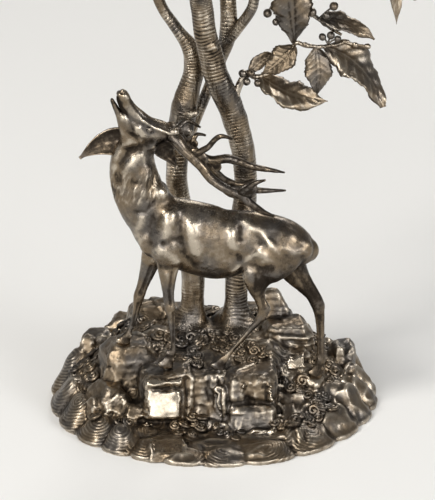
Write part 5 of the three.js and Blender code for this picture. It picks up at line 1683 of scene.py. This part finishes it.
class CENTERPIECE_OT_crown(bpy.types.Operator):
    """Model the six sprays of leaves and berries round the ring"""

    bl_idname = "centerpiece.crown"
    bl_label = "Crown of leaves"

    def execute(self, context):
        metal = silver("crown_silver", coat_relief, 0.15 * MM, gloss=0.33)
        for number, droop in enumerate(CROWN_DROOPS):
            shapes = [stalk(CROWN_TWIG, 10)]
            for each, (root, bend, (x, y, z), width) in enumerate(CROWN_LEAVES):
                twist = 0.35 * math.sin(2.3 * number + 1.7 * each)
                tip = (x, y, z - droop)
                shapes.append(leaf(root, bend, tip, width=width, twist=twist, seed=number + each, rows=46))
            shapes += [berry(*each) for each in CROWN_BERRIES]
            if not number:
                shapes.append(stalk(HANGING_TWIG))
                shapes.append(leaf(*HANGING_LEAF, face=(0.4, -0.9, 0.1), width=13, twist=0.3))
                shapes += [berry(*each) for each in HANGING_BERRIES]
            turned = np.array(Matrix.Rotation(number * 2 * math.pi / len(CROWN_DROOPS), 3, "Z"))
            shapes = [((points + (0, 0, RING_BOTTOM)) @ turned.T, *rest) for points, *rest in shapes]
            bouquet(f"crown_leaves_{number + 1}", shapes, metal, f"crown_spray_{number + 1}")
        return {"FINISHED"}


# Ring and bowl. A profile is a line of radius and height, the ring's from its bottom.

RING_PROFILE = [
    (56, 0), (57, 0), (60, 0.2), (62.4, 0.2), (62.9, 1), (62.2, 1.8), (61.6, 2.6), (61.8, 3.6), (62.8, 4.8),
    (63.8, 6.2), (64.4, 7.4), (64.9, 8), (65, 8.8), (64.6, 9.8), (63.8, 10.7), (62.6, 11), (61.6, 10.9),
    (61.3, 10.5), (58.6, 7.8), (56.1, 5.2), (56, 4.8),
]
BOWL_PROFILE = [
    (0.01, 362), (8, 362), (20, 362), (34, 362), (38, 362.4), (46, 366), (54.6, 371.2), (55.7, 377.3),
    (58, 379.8), (61.2, 383.3), (68, 388.6), (76, 395), (86, 406.5), (95, 419), (103.5, 432), (110.4, 443.6),
    (111.6, 445.4), (111.4, 446.6), (109.6, 446.9), (108.4, 445.6), (100.5, 433), (91, 419), (80.5, 405.5),
    (68, 393.5), (58, 387), (51, 383), (45, 376), (38, 369.4), (30, 368.2), (14, 368), (0.01, 368),
]
# The bowl's lobes, the mitre cuts on each, the star's points, and the rows of the profile that are outside
BOWL_LOBES = 10
CUTS_PER_LOBE = 3
STAR_POINTS = 16
OUTER_ROWS = 47
BOWL_SIDES = 240
RING_SIDES = 288
# Flutes on the ring's outside: number, depth as a share of the radius, radius from which they begin
RING_FLUTES = 72
FLUTE_DEPTH = 0.006
FLUTE_RADIUS = 61
# Beads: number, radius of their circle, height over the ring's bottom, radius of one
BEADS = 96
BEAD_CIRCLE = 62.6
BEAD_RISE = 1.2
BEAD_RADIUS = 1.25


def bead_tree():
    """A ring of beads."""
    tree, graph, given = new_tree(
        "bead_ring", "Ring", Beads="Int", Radius="Float", Height="Float", Size="Float", Finish="Material"
    )
    line = graph.node("GeometryNodeMeshCircle", {}, {"Vertices": given, "Radius": given.other("Radius")})
    bead = graph.node("GeometryNodeMeshUVSphere", {}, {"Segments": 8, "Rings": 6, "Radius": given.other("Size")})
    placed = graph.node("GeometryNodeInstanceOnPoints", {}, {"Points": line, "Instance": bead})
    rise = graph.node("ShaderNodeCombineXYZ", {}, {"Z": given.other("Height")})
    lifted = graph.node("GeometryNodeTransform", {}, {"Geometry": placed, "Translation": rise})
    end_tree(graph, given, lifted, "Ring")
    return tree


class CENTERPIECE_OT_ring(bpy.types.Operator):
    """Turn the ring that carries the bowl, and set beads round it"""

    bl_idname = "centerpiece.ring"
    bl_label = "Bowl ring"

    def execute(self, context):
        metal = silver("ring_silver", coat_relief, 0.1 * MM, gloss=0.18)
        rings = lathe([(r, z + RING_BOTTOM) for r, z in RING_PROFILE + RING_PROFILE[:1]], RING_SIDES)
        flutes = np.cos(RING_FLUTES * np.arctan2(rings[..., 1], rings[..., 0]))
        height = rings[..., 2] - RING_BOTTOM
        outside = np.hypot(rings[..., 0], rings[..., 1]) > FLUTE_RADIUS
        cut = 1 + FLUTE_DEPTH * flutes * step(2.6, 4.6, height) * step(8.4, 6.8, height) * outside
        rings[..., :2] *= cut[..., None]
        rows, sides = rings.shape[:2]
        points = rings[:-1].reshape(-1, 3)
        index = np.arange(len(points)).reshape(rows - 1, sides)
        below = np.roll(index, -1, axis=0)
        walls = np.stack([index, np.roll(index, -1, 1), np.roll(below, -1, 1), below], axis=-1).reshape(-1, 4)
        made = new_object("ring_band", points, walls.tolist())
        Surface(made).store().note_hollows(((3, 0.5), (20, 3)))
        finished(made, metal, STAND, "bowl_ring")
        beads = new_object("ring_beads", [], [])
        lift, size = (RING_BOTTOM + BEAD_RISE) * MM, BEAD_RADIUS * MM
        grown(beads, bead_tree(), beads=BEADS, radius=BEAD_CIRCLE * MM, height=lift, size=size, finish=metal)
        Surface(beads).store().note_hollows(((2, 0.5),), extra=-0.03)
        finished(beads, metal, STAND)
        return {"FINISHED"}


class CENTERPIECE_OT_bowl(bpy.types.Operator):
    """Blow the lobed glass bowl, with mitre cuts up each lobe and a star under its foot"""

    bl_idname = "centerpiece.bowl"
    bl_label = "Glass bowl"

    # Shares of the radius, then millimetres
    LOBE_WIDTH = 0.035
    MITRE_DEPTH = 0.016
    LOBE_RISE = 2.2
    STAR_DEPTH = 0.9

    def execute(self, context):
        dense = smooth_rows([(r, 0, z, 1, 1) for r, z in BOWL_PROFILE], 3)
        dense[:, 0] = np.maximum(dense[:, 0], 0.01)
        rings = lathe(dense[:, [0, 2]], BOWL_SIDES)
        x, y, z = np.moveaxis(rings, 2, 0)
        turn, radius = np.arctan2(y, x), np.hypot(x, y)
        high = step(389, 446, z)
        outer = (np.arange(len(dense)) < OUTER_ROWS)[:, None]
        lobes = np.cos(BOWL_LOBES * turn)
        mitres = self.grooves(turn, BOWL_LOBES * CUTS_PER_LOBE, 0.16) * outer * step(391, 397, z) * step(440, 432, z)
        star = self.grooves(turn, STAR_POINTS, 0.2) * outer * step(34, 28, radius) * step(2, 6, radius) * (z < 365)
        rings[..., :2] *= (1 + self.LOBE_WIDTH * high * lobes - self.MITRE_DEPTH * mitres)[..., None]
        rings[..., 2] += self.LOBE_RISE * high**3 * lobes - 0.3 * high + self.STAR_DEPTH * star
        made = new_object("cut_glass_bowl", *skin(rings))
        finished(made, cut_glass("bowl_glass"), BOWL, "glass_bowl")
        return {"FINISHED"}

    def grooves(self, turn, count, width):
        """1 in the middle of each of so many grooves round the bowl, 0 between them."""
        return np.maximum(0, 1 - np.abs((turn * count / (2 * np.pi)) % 1 - 0.5) / width)


class CENTERPIECE_OT_fasteners(bpy.types.Operator):
    """Cut the threaded studs under the trunks and hooves, and give nuts and washers their steel"""

    bl_idname = "centerpiece.fasteners"
    bl_label = "Studs, nuts and washers"

    TREE_STUD = 2.95
    HOOF_STUD = 1.38
    THREAD_STEP = 0.35

    def execute(self, context):
        steel = plain_steel("turned_steel")
        for name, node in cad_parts.items():
            if "nut" in name or "washer" in name:
                node.data.materials.clear()
                node.data.materials.append(steel)
        studs = [self.stud(self.TREE_STUD, at, TREE_SEAT - 9.5, 58) for at in TREE_STUDS]
        studs += [self.stud(self.HOOF_STUD, (x, y), z - HOOF_SEAT_DEPTH - 4.1, z + 2) for x, y, z in HOOVES]
        made = new_object("threaded_studs", *merged(studs))
        finished(made, steel, STAND)
        return {"FINISHED"}

    def stud(self, radius, at, low, high):
        """A stud whose thread is cut as close rings."""
        heights = np.arange(low + 0.6, high, self.THREAD_STEP)
        profile = [(radius * 0.8, low)] + [(radius * (1 - 0.12 * (k % 2)), z) for k, z in enumerate(heights)]
        points, faces = skin(lathe(profile, 20))
        return points + (*at, 0), faces


class CENTERPIECE_PT_panel(bpy.types.Panel):
    """Lists the pieces in the order in which they are made"""

    bl_idname = "CENTERPIECE_PT_panel"
    bl_label = "Stag centerpiece"
    bl_space_type = "VIEW_3D"
    bl_region_type = "UI"
    bl_category = "Centerpiece"

    def draw(self, context):
        rows = self.layout.column()
        for settings in GROUPS:
            group = getattr(context.scene, settings)
            for name in group.__annotations__:
                rows.prop(group, name)
        for each in STEPS:
            rows.operator(each.bl_idname)


STEPS = (
    CENTERPIECE_OT_stage,
    CENTERPIECE_OT_base,
    CENTERPIECE_OT_moss,
    CENTERPIECE_OT_tree,
    CENTERPIECE_OT_foliage,
    CENTERPIECE_OT_crown,
    CENTERPIECE_OT_stag,
    CENTERPIECE_OT_antlers,
    CENTERPIECE_OT_ring,
    CENTERPIECE_OT_bowl,
    CENTERPIECE_OT_fasteners,
)
GROUPS = {
    "centerpiece_sizes": CenterpieceSizes,
    "centerpiece_finish": CenterpieceFinish,
    "centerpiece_stage": CenterpieceStage,
}
CLASSES = (*GROUPS.values(), *STEPS, CENTERPIECE_PT_panel)


def register():
    for each in CLASSES:
        bpy.utils.register_class(each)
    for name, group in GROUPS.items():
        setattr(bpy.types.Scene, name, bpy.props.PointerProperty(type=group))


def unregister():
    for name in GROUPS:
        delattr(bpy.types.Scene, name)
    for each in reversed(CLASSES):
        bpy.utils.unregister_class(each)


def main():
    register()
    bpy.ops.centerpiece.stage()
    bpy.ops.centerpiece.base()
    bpy.ops.centerpiece.moss()
    bpy.ops.centerpiece.tree()
    bpy.ops.centerpiece.foliage()
    bpy.ops.centerpiece.crown()
    bpy.ops.centerpiece.stag()
    bpy.ops.centerpiece.antlers()
    bpy.ops.centerpiece.ring()
    bpy.ops.centerpiece.bowl()
    bpy.ops.centerpiece.fasteners()


if __name__ == "__main__":
    main()
